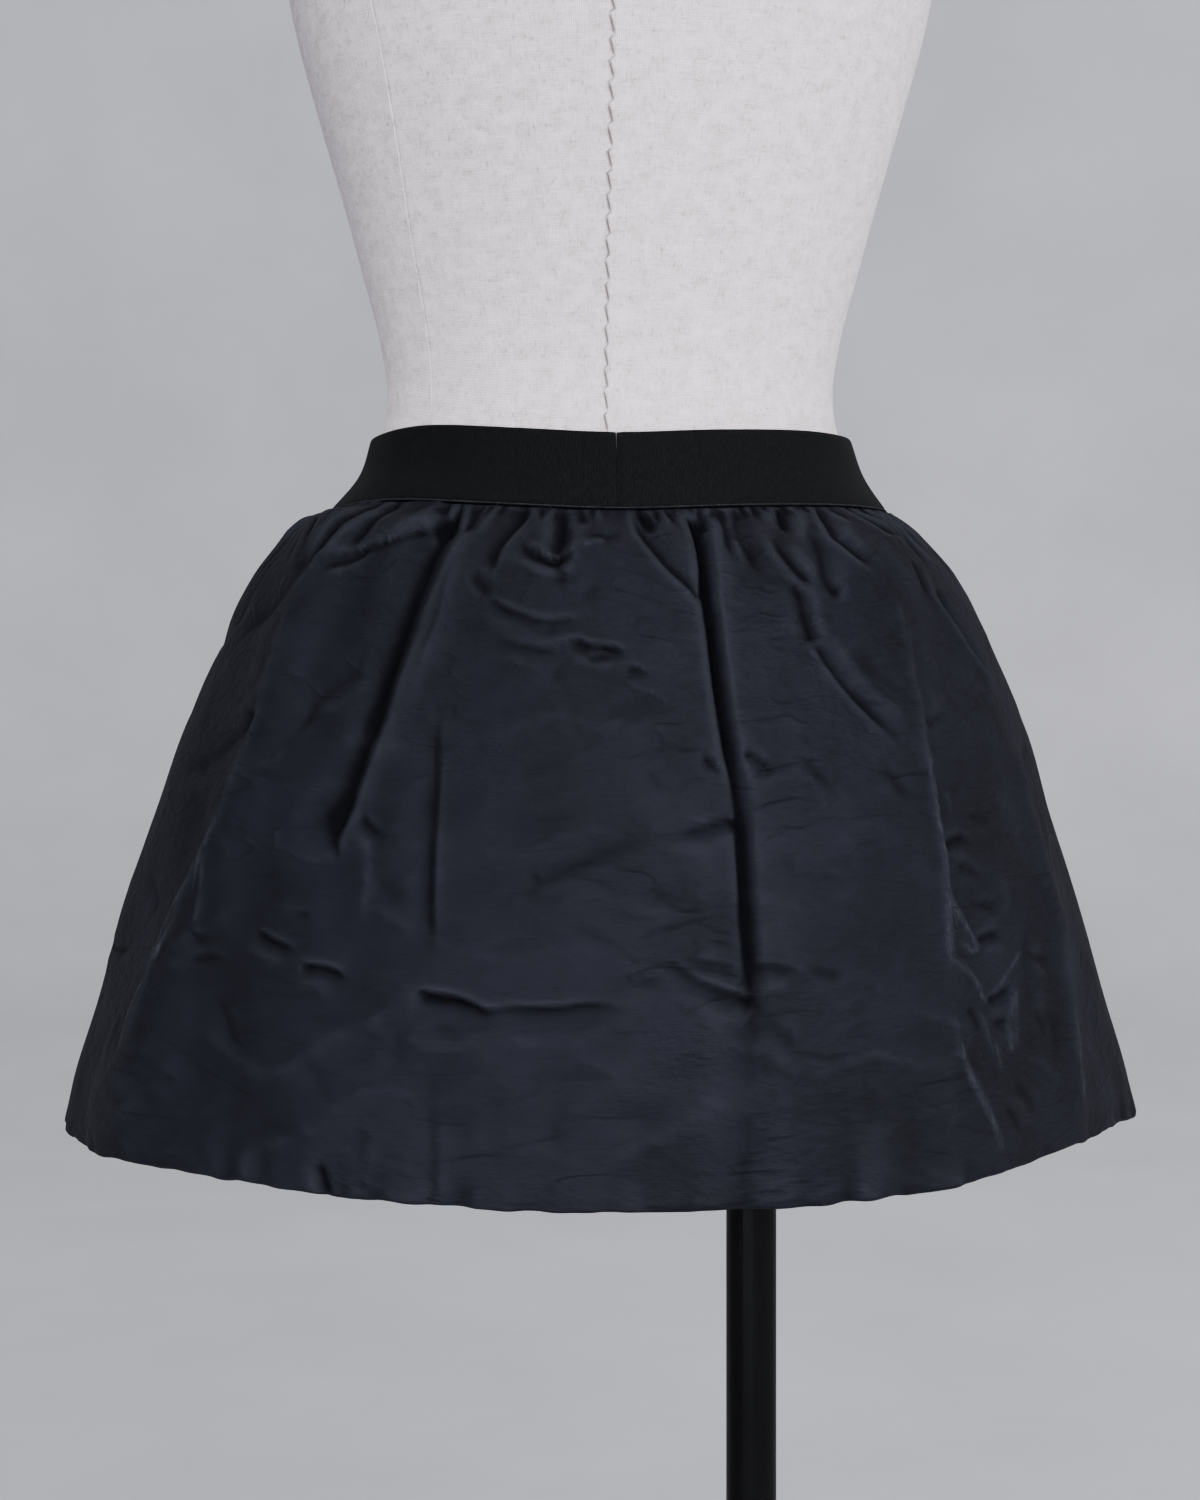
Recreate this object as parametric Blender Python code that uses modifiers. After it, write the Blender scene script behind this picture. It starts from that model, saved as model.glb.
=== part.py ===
"""A padded mini skirt with a wide elastic waistband, worn by a limbless linen dress form on its stand.

Run with blender --background --python part.py, or from Blender's text editor.
Metres, +Z up. The origin is the middle of the base plate's underside, on the floor. The side of
the skirt that the elastic's join is on, the centre back, faces -Y, and the wearer's front faces +Y.

The cloth is built from a base surface. An angle runs round it from the centre back, positive
towards +X, and a drop runs down it from the waist seam. Sections give the surface its outline,
folds push it in or out along its normal, and gathers raise its outer points alone.
"""

import math
import random
from collections import namedtuple

import bmesh
import bpy
import numpy as np
from mathutils import Matrix, Vector

# Heights above the floor
NATURAL_WAIST_Z = 1.012
BAND_TOP_Z = 0.990
WAIST_SEAM_Z = 0.9522
HEM_DROP = 0.3112
FORM_UNDERSIDE_Z = 0.750
FORM_NECK_Z = 1.420

# Cloth thicknesses and the gap that every seam keeps
SEAM_GAP = 0.0003
PANEL_THICKNESS = 0.0035
BAND_THICKNESS = 0.0020
BUNDLE_CLEARANCE = 0.0006
BUNDLE_LENGTH = 0.020
HEM_ROLL = 0.0012

# Gathers at the waist seam, on each of the two panels
GATHERS_PER_PANEL = 28
GATHER_DEPTH = (0.0022, 0.0046)
GATHER_LENGTH = (0.022, 0.060)
GATHER_SEED = 11

# Stand
POLE_X = 0.073
POLE_RADIUS = 0.013
BASE_RADIUS = 0.170
BASE_THICKNESS = 0.009
BASE_EDGE = 0.0025
COLLAR_RADIUS = 0.024
COLLAR_HEIGHT = 0.030
SOCKET_RADIUS = 0.032
SOCKET_HEIGHT = 0.012
RUNNING_GAP = 0.0003

# Closing boards of the form
ARM_CUT_X = 0.1660
ARM_CUT_Z = 1.290
ARM_CUT_TILT = math.radians(4.0)
ARM_PLATE_HALF = (0.043, 0.052)
ARM_PLATE_THICKNESS = 0.004
NECK_CAP_THICKNESS = 0.012

SkirtSection = namedtuple("SkirtSection", "drop left right back front lens")
SKIRT_SECTIONS = (
    SkirtSection(0.0000, 0.1455, 0.1435, 0.1070, 0.1085, 0.00),
    SkirtSection(0.0040, 0.1560, 0.1475, 0.1135, 0.1150, 0.00),
    SkirtSection(0.0100, 0.1650, 0.1560, 0.1210, 0.1225, 0.00),
    SkirtSection(0.0160, 0.1705, 0.1627, 0.1270, 0.1290, 0.01),
    SkirtSection(0.0280, 0.1805, 0.1743, 0.1360, 0.1390, 0.02),
    SkirtSection(0.0410, 0.1885, 0.1824, 0.1430, 0.1470, 0.04),
    SkirtSection(0.0660, 0.1995, 0.1948, 0.1530, 0.1580, 0.08),
    SkirtSection(0.1030, 0.2158, 0.2113, 0.1645, 0.1700, 0.15),
    SkirtSection(0.1530, 0.2330, 0.2265, 0.1765, 0.1820, 0.24),
    SkirtSection(0.2020, 0.2493, 0.2422, 0.1865, 0.1920, 0.32),
    SkirtSection(0.2520, 0.2635, 0.2560, 0.1945, 0.2000, 0.40),
    SkirtSection(0.2900, 0.2745, 0.2670, 0.1985, 0.2050, 0.44),
    SkirtSection(0.3112, 0.2775, 0.2712, 0.2000, 0.2070, 0.45),
)

# Rows of the panels' walls, as drops below the waist seam
ROW_DROPS = (0, 0.004, 0.010, 0.019, 0.032, 0.050, 0.076, 0.108, 0.146, 0.188, 0.230, 0.272, 0.302, HEM_DROP)

# Slow rises of the waist seam and of the hem: the angle of the crest, its spread and its height
Wave = namedtuple("Wave", "angle spread rise")
WAIST_WAVES = (
    Wave(-48, 22, 0.0034),
    Wave(2, 17, -0.0020),
    Wave(52, 20, 0.0010),
    Wave(140, 24, 0.0022),
    Wave(-150, 22, 0.0016),
)
HEM_WAVES = (
    Wave(-46, 26, 0.0042),
    Wave(60, 22, 0.0055),
    Wave(128, 24, 0.0036),
    Wave(-140, 28, 0.0045),
)

# The band's outside half sizes, from its lower edge up, at shares of its height
BandSection = namedtuple("BandSection", "share left right back front")
BAND_SECTIONS = (
    BandSection(1.00, 0.1232, 0.1238, 0.0955, 0.1000),
    BandSection(0.45, 0.1305, 0.1312, 0.1005, 0.1040),
    BandSection(0.00, 0.1448, 0.1428, 0.1068, 0.1083),
)
BAND_COLUMNS = 89
BAND_JOIN = math.radians(1.2)
BAND_JOIN_RADIUS = 0.107

# A fold follows a path of (angle in degrees, drop) points. A positive depth is a trough and a
# negative one a ridge; depth and width run from their top value to their low one along the path.
Fold = namedtuple("Fold", "path top_depth low_depth top_width low_width")
FOLDS = (
    # The centre back's two deep falls and the creases beside them
    Fold(((-31, 0.002), (-27, 0.016), (-26.8, 0.063), (-28, 0.097), (-33, 0.158)), 0.014, 0.006, 0.011, 0.006),
    Fold(((-36, 0.012), (-33, 0.060), (-35, 0.100), (-38, 0.150)), -0.005, -0.003, 0.018, 0.020),
    Fold(((2, 0.003), (7.5, 0.021), (12.5, 0.040)), 0.004, 0.006, 0.007, 0.008),
    Fold(((16, 0.003), (14.5, 0.028), (14.8, 0.118), (14.2, 0.213), (12.2, 0.311)), 0.011, 0.005, 0.009, 0.008),
    Fold(((-22.8, 0.086), (-21.2, 0.125), (-19.5, 0.190), (-19, 0.214)), 0.003, 0.004, 0.006, 0.006),
    Fold(((30, 0.008), (27.2, 0.040), (31, 0.086), (38, 0.116)), 0.006, 0.004, 0.007, 0.006),
    Fold(((-14.5, 0.002), (-18.2, 0.028), (-17.8, 0.040)), 0.005, 0.004, 0.006, 0.006),
    # Pressed ridges towards the sides
    Fold(((-58, 0.010), (-53, 0.042), (-51, 0.105), (-56, 0.206), (-60, 0.290)), -0.008, -0.008, 0.020, 0.027),
    Fold(((58.5, 0.010), (42, 0.080), (39.8, 0.168), (41, 0.225), (40, 0.301)), -0.003, -0.003, 0.012, 0.014),
    Fold(((66, 0.130), (63.5, 0.211), (56.8, 0.290)), -0.003, -0.003, 0.010, 0.012),
    # The hidden front
    Fold(((117, 0.003), (112, 0.050), (108, 0.150)), 0.009, 0.003, 0.010, 0.009),
    Fold(((143, 0.003), (146, 0.060), (147, 0.190), (145, 0.311)), 0.012, 0.004, 0.010, 0.009),
    Fold(((168, 0.003), (171, 0.050), (173, 0.120)), 0.007, 0.003, 0.008, 0.007),
    Fold(((199, 0.003), (196, 0.060), (194, 0.170), (197, 0.311)), 0.013, 0.004, 0.011, 0.009),
    Fold(((222, 0.003), (226, 0.045), (231, 0.110)), 0.008, 0.004, 0.008, 0.007),
    Fold(((247, 0.003), (250, 0.070), (254, 0.180)), 0.010, 0.003, 0.010, 0.009),
    Fold(((128, 0.060), (128, 0.180), (124, 0.300)), -0.003, -0.003, 0.016, 0.020),
    Fold(((236, 0.080), (239, 0.190), (243, 0.300)), -0.003, -0.003, 0.016, 0.020),
)

# The dress form, ring by ring from its underside to its neck
FormSection = namedtuple("FormSection", "height half_width back front")
FORM_SECTIONS = (
    FormSection(0.7500, 0.138, 0.094, 0.086),
    FormSection(0.7530, 0.147, 0.101, 0.092),
    FormSection(0.7620, 0.1565, 0.108, 0.098),
    FormSection(0.7800, 0.163, 0.114, 0.103),
    FormSection(0.8050, 0.1652, 0.118, 0.106),
    FormSection(0.8350, 0.163, 0.1185, 0.107),
    FormSection(0.8700, 0.1565, 0.115, 0.105),
    FormSection(0.9050, 0.148, 0.109, 0.102),
    FormSection(0.9320, 0.1415, 0.1035, 0.1005),
    FormSection(0.9522, 0.135, 0.098, 0.099),
    FormSection(0.9720, 0.1262, 0.0925, 0.0960),
    FormSection(0.9920, 0.1175, 0.0880, 0.0925),
    FormSection(1.0120, 0.1148, 0.0860, 0.0905),
    FormSection(1.0400, 0.1185, 0.0870, 0.0920),
    FormSection(1.0800, 0.1290, 0.0925, 0.0980),
    FormSection(1.1200, 0.1400, 0.0985, 0.1050),
    FormSection(1.1600, 0.1515, 0.1035, 0.1120),
    FormSection(1.2000, 0.1620, 0.1060, 0.1150),
    FormSection(1.2350, 0.1690, 0.1050, 0.1100),
    FormSection(1.2700, 0.1740, 0.1000, 0.0980),
    FormSection(1.3000, 0.1790, 0.0900, 0.0830),
    FormSection(1.3220, 0.1800, 0.0790, 0.0690),
    FormSection(1.3380, 0.1700, 0.0690, 0.0590),
    FormSection(1.3520, 0.1400, 0.0600, 0.0540),
    FormSection(1.3640, 0.1050, 0.0530, 0.0530),
    FormSection(1.3740, 0.0780, 0.0480, 0.0550),
    FormSection(1.3840, 0.0620, 0.0440, 0.0580),
    FormSection(1.3980, 0.0560, 0.0410, 0.0600),
    FormSection(1.4200, 0.0550, 0.0390, 0.0610),
)
FORM_SIDES = 48
BUST_X = 0.078
BUST_Z = 1.196
BUST_SPREAD = (0.050, 0.062)
BUST_HEIGHT = 0.016

COLOURS = {
    # surface: base colour, roughness, metallic
    "padded_cloth": ((0.010, 0.011, 0.015, 1.0), 0.48, 0.0),
    "elastic": ((0.008, 0.008, 0.009, 1.0), 0.80, 0.0),
    "linen": ((0.72, 0.69, 0.67, 1.0), 0.90, 0.0),
    "pole_paint": ((0.008, 0.008, 0.009, 1.0), 0.35, 0.2),
    "wood": ((0.42, 0.30, 0.19, 1.0), 0.50, 0.0),
}


def make_material(name):
    """Returns the Principled material that the table names, made once."""
    if name in bpy.data.materials:
        return bpy.data.materials[name]
    colour, roughness, metallic = COLOURS[name]
    material = bpy.data.materials.new(name)
    material.use_nodes = True
    shader = material.node_tree.nodes["Principled BSDF"]
    shader.inputs["Base Color"].default_value = colour
    shader.inputs["Roughness"].default_value = roughness
    shader.inputs["Metallic"].default_value = metallic
    return material


def smooth_table(positions, values, at):
    """Reads a table at any position, on a smooth curve through its rows."""
    positions = np.asarray(positions, float)
    values = np.asarray(values, float)
    at = np.clip(np.asarray(at, float), positions[0], positions[-1])
    slopes = np.gradient(values, positions)
    row = np.clip(np.searchsorted(positions, at, side="right") - 1, 0, len(positions) - 2)
    step = positions[row + 1] - positions[row]
    t = (at - positions[row]) / step
    ends = (2 * t**3 - 3 * t**2 + 1) * values[row] + (3 * t**2 - 2 * t**3) * values[row + 1]
    bends = (t**3 - 2 * t**2 + t) * slopes[row] + (t**3 - t**2) * slopes[row + 1]
    return ends + bends * step


def column(sections, name):
    """One named column of a table of sections."""
    return [getattr(section, name) for section in sections]


def smooth_step(t):
    """Eases from 0 to 1."""
    t = np.clip(t, 0, 1)
    return t * t * (3 - 2 * t)


def waves(table, angle):
    """The rise that a table of slow waves gives at an angle in radians."""
    degrees = np.degrees(angle)
    total = np.zeros_like(degrees)
    for wave in table:
        apart = (degrees - wave.angle + 180) % 360 - 180
        total = total + wave.rise * np.exp(-((apart / wave.spread) ** 2))
    return total


def base_surface(angle, drop):
    """Points of the skirt's outside before it is folded, for arrays of angles and drops."""
    drops = column(SKIRT_SECTIONS, "drop")
    left, right, back, front, lens = (
        smooth_table(drops, column(SKIRT_SECTIONS, name), drop)
        for name in ("left", "right", "back", "front", "lens")
    )
    sine, cosine = np.sin(angle), np.cos(angle)
    x = ((right + left) / 2 + (right - left) / 2 * sine) * sine
    depth = (back + front) / 2 + (back - front) / 2 * cosine
    # Towards +X the section narrows to the pointed side that a flat-folded skirt keeps
    pointed = lens * smooth_step(sine)
    y = -depth * np.sign(cosine) * np.abs(cosine) ** (1 + pointed)
    rise = waves(WAIST_WAVES, angle) * np.exp(-((drop / 0.060) ** 2))
    rise = rise + waves(HEM_WAVES, angle) * smooth_step((drop - 0.200) / (HEM_DROP - 0.200))
    return np.stack([x, y, WAIST_SEAM_Z - drop + rise], axis=-1)


def surface_normal(angle, drop):
    """Outward normals of the base surface."""
    turn, fall = 1e-3, 5e-4
    across = base_surface(angle + turn, drop) - base_surface(angle - turn, drop)
    low, high = np.minimum(drop + fall, HEM_DROP), np.maximum(drop - fall, 0)
    down = base_surface(angle, low) - base_surface(angle, high)
    normal = np.cross(down, across)
    normal = normal / np.linalg.norm(normal, axis=-1, keepdims=True)
    # Level at the waist seam, so that the panels' top edge stays under the band
    normal[..., 2] *= smooth_step(drop / 0.010)
    return normal / np.linalg.norm(normal, axis=-1, keepdims=True)


def path_points(path, steps=14):
    """Evenly numbered points on a smooth line through a fold's path, with radians for angles."""
    knots = np.linspace(0, 1, len(path))
    at = np.linspace(0, 1, steps)
    angles = smooth_table(knots, [math.radians(p[0]) for p in path], at)
    drops = smooth_table(knots, [p[1] for p in path], at)
    return angles, drops


def fold_push(angle, drop):
    """How far the folds push the surface inwards, at arrays of angles and drops."""
    depths = column(SKIRT_SECTIONS, "drop")
    reach = [(s.left + s.right + s.back + s.front) / 4 for s in SKIRT_SECTIONS]
    radius = smooth_table(depths, reach, drop)
    total = np.zeros_like(radius)
    for fold in FOLDS:
        angles, drops = path_points(fold.path)
        nearest = np.full(radius.shape, np.inf)
        along = np.zeros_like(radius)
        for k in range(len(angles) - 1):
            apart = (angle - angles[k] + math.pi) % (2 * math.pi) - math.pi
            px, py = apart * radius, drop - drops[k]
            sx, sy = (angles[k + 1] - angles[k]) * radius, drops[k + 1] - drops[k]
            share = np.clip((px * sx + py * sy) / (sx * sx + sy * sy), 0, 1)
            gap = np.hypot(px - share * sx, py - share * sy)
            closer = gap < nearest
            nearest = np.where(closer, gap, nearest)
            along = np.where(closer, (k + share) / (len(angles) - 1), along)
        depth = fold.top_depth + (fold.low_depth - fold.top_depth) * along
        width = fold.top_width + (fold.low_width - fold.top_width) * along
        total = total + depth * np.exp(-((nearest / width) ** 2))
    # A fold starts from nothing at the waist seam, where the cloth is held
    return total * smooth_step(drop / 0.012)


def gather_columns(start, end, seed):
    """Angles of a panel's wall columns, three to a gather, and each column's gather depth and length.

    A column in a valley has a positive depth and the two on the puff beside it a negative one.
    """
    dice = random.Random(seed)
    shares = [1 + dice.uniform(-0.35, 0.35) for _ in range(GATHERS_PER_PANEL)]
    angles, depths, lengths = [start], [0.0], [GATHER_LENGTH[0]]
    reached = 0.0
    for k, share in enumerate(shares):
        depth = dice.uniform(*GATHER_DEPTH)
        length = dice.uniform(*GATHER_LENGTH)
        for part, push in ((0.30, -0.35), (0.68, -0.30), (1.0, 1.0)):
            angles.append(start + (end - start) * (reached + share * part) / sum(shares))
            depths.append(depth * push)
            lengths.append(length)
        reached += share
    angles[-1], depths[-1] = end, 0.0
    return np.array(angles), np.array(depths), np.array(lengths)


def add_object(name, mesh, material):
    """Links a mesh to the skirt's collection as a named object with its material."""
    mesh.name = name
    part = bpy.data.objects.new(name, mesh)
    part.data.materials.clear()
    part.data.materials.append(make_material(material))
    bpy.data.collections["mini_skirt_on_form"].objects.link(part)
    return part


def loft_wall(name, outer, inner, material, closed=False):
    """A wall between two grids of points, rows first, with its rims closed.

    The columns run anticlockwise seen from above and the rows run down. With closed set, the last
    column joins the first.
    """
    rows, columns = outer.shape[:2]
    shell = bmesh.new()
    out, inn = (
        [[shell.verts.new(point) for point in row] for row in grid]
        for grid in (outer, inner)
    )
    spans = columns if closed else columns - 1
    for c in range(spans):
        d = (c + 1) % columns
        for r in range(rows - 1):
            shell.faces.new((out[r][c], out[r + 1][c], out[r + 1][d], out[r][d]))
            shell.faces.new((inn[r][c], inn[r][d], inn[r + 1][d], inn[r + 1][c]))
        shell.faces.new((out[0][c], out[0][d], inn[0][d], inn[0][c]))
        shell.faces.new((out[-1][c], inn[-1][c], inn[-1][d], out[-1][d]))
    if not closed:
        for r in range(rows - 1):
            shell.faces.new((out[r][0], inn[r][0], inn[r + 1][0], out[r + 1][0]))
            shell.faces.new((out[r][-1], out[r + 1][-1], inn[r + 1][-1], inn[r][-1]))
    bmesh.ops.recalc_face_normals(shell, faces=shell.faces)
    mesh = bpy.data.meshes.new(name)
    shell.to_mesh(mesh)
    shell.free()
    mesh.shade_smooth()
    mesh.set_sharp_from_angle(angle=math.radians(50))
    return add_object(name, mesh, material)


def form_ring(angle, height):
    """Points of the dress form's surface, for arrays of angles and heights."""
    heights = column(FORM_SECTIONS, "height")
    half_width, back, front = (
        smooth_table(heights, column(FORM_SECTIONS, name), height)
        for name in ("half_width", "back", "front")
    )
    sine, cosine = np.sin(angle), np.cos(angle)
    x = half_width * sine
    y = np.where(cosine > 0, -back * cosine, -front * cosine)
    for side in (-1, 1):
        across = (x - side * BUST_X) / BUST_SPREAD[0]
        up = (height - BUST_Z) / BUST_SPREAD[1]
        y = y + np.where(cosine < 0, BUST_HEIGHT * -cosine * np.exp(-(across**2) - up**2), 0)
    return np.stack([x, y, height + 0 * x], axis=-1)


def build_panel(name, start, end, seed):
    """The back or front panel: a padded wall, gathered at the waist seam and rolled at the hem."""
    angles, depths, lengths = gather_columns(start, end, seed)
    drops = np.array(ROW_DROPS)
    angle, drop = np.meshgrid(angles, drops)
    surface = base_surface(angle, drop)
    normal = surface_normal(angle, drop)
    push = fold_push(angle, drop)[..., None]

    fade = (0.3 + 0.7 * smooth_step(drop / 0.009)) * np.exp(-((drop / lengths) ** 2))
    gather = (depths * fade)[..., None]
    outer = surface - normal * (push + np.maximum(gather, -0.0030))
    outer[-1] -= normal[-1] * HEM_ROLL

    # Under the band the wadding and the seam allowance fill the room down to the form
    inner = surface - normal * (push + PANEL_THICKNESS)
    seat = form_ring(angle, surface[..., 2])
    out_of_form = seat * (1, 1, 0)
    out_of_form = out_of_form / np.linalg.norm(out_of_form, axis=-1, keepdims=True)
    seat = seat + out_of_form * BUNDLE_CLEARANCE
    bundle = (1 - smooth_step(drop / BUNDLE_LENGTH))[..., None]
    inner = seat * bundle + inner * (1 - bundle)
    inner[-1] += normal[-1] * HEM_ROLL * 0.5

    # The two panels meet at the sides with the seam gap between them
    apart = SEAM_GAP / 2 if math.cos((start + end) / 2) < 0 else -SEAM_GAP / 2
    for wall in (outer, inner):
        for end_column in (0, -1):
            wall[:, end_column, 1] = apart
    return loft_wall(name, outer, inner, "padded_cloth")


def build_waistband():
    """The elastic: one strip joined at the centre back, leaning in to its top edge."""
    half_gap = SEAM_GAP / 2 / BAND_JOIN_RADIUS
    angles = np.linspace(BAND_JOIN + half_gap, BAND_JOIN + 2 * math.pi - half_gap, BAND_COLUMNS)
    sine, cosine = np.sin(angles), np.cos(angles)
    foot = WAIST_SEAM_Z + SEAM_GAP
    outer, inner = [], []
    for section in BAND_SECTIONS:
        height = foot + (BAND_TOP_Z - foot) * section.share + waves(WAIST_WAVES, angles)
        for wall, inwards in ((outer, 0.0), (inner, BAND_THICKNESS)):
            half = (section.right + section.left) / 2 + (section.right - section.left) / 2 * sine
            depth = (section.back + section.front) / 2 + (section.back - section.front) / 2 * cosine
            wall.append(np.stack([(half - inwards) * sine, (inwards - depth) * cosine, height], axis=-1))
    return loft_wall("waistband", np.array(outer), np.array(inner), "elastic")


def build_form():
    """The torso: one smooth closed form, with a flat cut at each shoulder for its arm board."""
    angles = np.linspace(0, 2 * math.pi, FORM_SIDES, endpoint=False)
    shell = bmesh.new()
    rings = []
    for section in FORM_SECTIONS:
        points = form_ring(angles, np.full(FORM_SIDES, section.height))
        rings.append([shell.verts.new(point) for point in points])
    for low, high in zip(rings, rings[1:]):
        for k in range(FORM_SIDES):
            after = (k + 1) % FORM_SIDES
            shell.faces.new((low[k], low[after], high[after], high[k]))
    shell.faces.new(rings[0])
    shell.faces.new(rings[-1])
    for side in (-1, 1):
        outwards = Vector((side * math.cos(ARM_CUT_TILT), 0.0, math.sin(ARM_CUT_TILT)))
        found = shell.verts[:] + shell.edges[:] + shell.faces[:]
        cut = bmesh.ops.bisect_plane(
            shell,
            geom=found,
            dist=1e-5,
            plane_co=(side * ARM_CUT_X, 0, ARM_CUT_Z),
            plane_no=outwards,
            clear_outer=True,
        )
        rim = [piece for piece in cut["geom_cut"] if isinstance(piece, bmesh.types.BMEdge)]
        bmesh.ops.contextual_create(shell, geom=rim)
    bmesh.ops.recalc_face_normals(shell, faces=shell.faces)
    mesh = bpy.data.meshes.new("form_torso")
    shell.to_mesh(mesh)
    shell.free()
    mesh.shade_smooth()
    mesh.set_sharp_from_angle(angle=math.radians(40))
    return add_object("form_torso", mesh, "linen")


def build_arm_board(name, side):
    """An oval board that closes the form at the shoulder, a seam gap off its flat."""
    bpy.ops.mesh.primitive_cylinder_add(vertices=32, radius=1.0, depth=ARM_PLATE_THICKNESS)
    board = bpy.context.object
    board.data.transform(Matrix.Diagonal((*ARM_PLATE_HALF[::-1], 1.0, 1.0)))
    lift = ARM_PLATE_THICKNESS / 2 + SEAM_GAP
    board.data.transform(Matrix.Translation((0, 0, lift)))
    board.data.transform(Matrix.Rotation(side * math.radians(90) - side * ARM_CUT_TILT, 4, "Y"))
    board.data.transform(Matrix.Translation((side * ARM_CUT_X, -0.004, ARM_CUT_Z)))
    bevel = board.modifiers.new("rounded_rim", "BEVEL")
    bevel.width = 0.001
    bevel.segments = 1
    return adopt(board, name, "linen")


def adopt(added, name, material):
    """Moves an object that an operator added into the skirt's collection, named and coloured."""
    for holder in list(added.users_collection):
        holder.objects.unlink(added)
    bpy.data.collections["mini_skirt_on_form"].objects.link(added)
    added.name = name
    added.data.name = name
    added.data.materials.clear()
    added.data.materials.append(make_material(material))
    return added


def turned(name, profile, centre, material, steps=40):
    """A turned piece: a profile of (radius, height) points spun round an upright axis.

    The profile runs down its outer side, top to bottom. A first and last point on the axis close
    a full piece, and a profile that ends where it began closes a ring.
    """
    mesh = bpy.data.meshes.new(name)
    ring = profile[0] == profile[-1]
    points = profile[:-1] if ring else profile
    edges = [(k, k + 1) for k in range(len(points) - 1)]
    if ring:
        edges.append((len(points) - 1, 0))
    mesh.from_pydata([(radius, 0, height) for radius, height in points], edges, [])
    piece = add_object(name, mesh, material)
    piece.location = centre
    screw = piece.modifiers.new("turned", "SCREW")
    screw.axis = "Z"
    screw.steps = steps
    screw.render_steps = steps
    screw.use_merge_vertices = True
    screw.merge_threshold = 0.00001
    screw.use_smooth_shade = True
    return piece


def build_stand():
    """The base plate, the collar at the pole's foot, the pole and the socket under the form."""
    pole_foot = (POLE_X, 0, 0)
    turned(
        "base_plate",
        [
            (0, BASE_THICKNESS),
            (BASE_RADIUS - BASE_EDGE, BASE_THICKNESS),
            (BASE_RADIUS, BASE_THICKNESS - BASE_EDGE),
            (BASE_RADIUS, BASE_EDGE / 2),
            (BASE_RADIUS - BASE_EDGE / 2, 0),
            (0, 0),
        ],
        (0, 0, 0),
        "pole_paint",
        steps=56,
    )
    foot = BASE_THICKNESS + RUNNING_GAP
    bore = POLE_RADIUS + RUNNING_GAP
    turned(
        "pole_collar",
        [
            (bore, foot + COLLAR_HEIGHT),
            (COLLAR_RADIUS - 0.006, foot + COLLAR_HEIGHT),
            (COLLAR_RADIUS - 0.003, foot + COLLAR_HEIGHT - 0.004),
            (COLLAR_RADIUS, foot + 0.006),
            (COLLAR_RADIUS + 0.006, foot),
            (bore, foot),
            (bore, foot + COLLAR_HEIGHT),
        ],
        pole_foot,
        "pole_paint",
        steps=32,
    )
    pole_top = FORM_UNDERSIDE_Z - RUNNING_GAP
    turned(
        "pole",
        [(0, pole_top), (POLE_RADIUS, pole_top), (POLE_RADIUS, foot), (0, foot)],
        pole_foot,
        "pole_paint",
        steps=32,
    )
    socket_low = pole_top - SOCKET_HEIGHT
    turned(
        "form_socket",
        [
            (bore, pole_top),
            (SOCKET_RADIUS, pole_top),
            (SOCKET_RADIUS, pole_top - 0.003),
            (POLE_RADIUS + 0.006, pole_top - 0.005),
            (POLE_RADIUS + 0.005, socket_low),
            (bore, socket_low),
            (bore, pole_top),
        ],
        pole_foot,
        "pole_paint",
        steps=32,
    )


def build_neck_cap():
    """A plain turned board and knob that close the form's neck."""
    low = FORM_NECK_Z + SEAM_GAP
    high = low + NECK_CAP_THICKNESS
    cap = turned(
        "neck_cap",
        [
            (0, high + 0.034),
            (0.007, high + 0.033),
            (0.0115, high + 0.026),
            (0.0115, high + 0.019),
            (0.0065, high + 0.009),
            (0.008, high + 0.001),
            (0.044, high),
            (0.047, high - 0.004),
            (0.047, low + 0.002),
            (0.045, low),
            (0, low),
        ],
        (0, 0.011, 0),
        "wood",
        steps=36,
    )
    return cap


def main():
    for old in list(bpy.data.objects):
        bpy.data.objects.remove(old)
    collection = bpy.data.collections.new("mini_skirt_on_form")
    bpy.context.scene.collection.children.link(collection)
    side = math.pi / 2
    build_panel("back_panel", -side, side, GATHER_SEED)
    build_panel("front_panel", side, 3 * side, GATHER_SEED + 1)
    build_waistband()
    build_form()
    build_arm_board("arm_board_left", -1)
    build_arm_board("arm_board_right", 1)
    build_neck_cap()
    build_stand()


main()
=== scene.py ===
"""Looks of a gathered mini skirt on a limbless dress form: its cloth, elastic, linen and stand.

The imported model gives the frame: metres, +Z up, the base plate's underside on the floor. The
skirt's centre back faces -Y. An angle runs round the skirt from the centre back, positive towards
+X, and a drop runs down it from the waist seam. Tables give angles in degrees and drops in
millimetres, as they are read off a tape laid on the cloth.
"""

from __future__ import annotations

import logging
import math
import random
from dataclasses import dataclass
from enum import Enum
from typing import NamedTuple, Sequence

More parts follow.
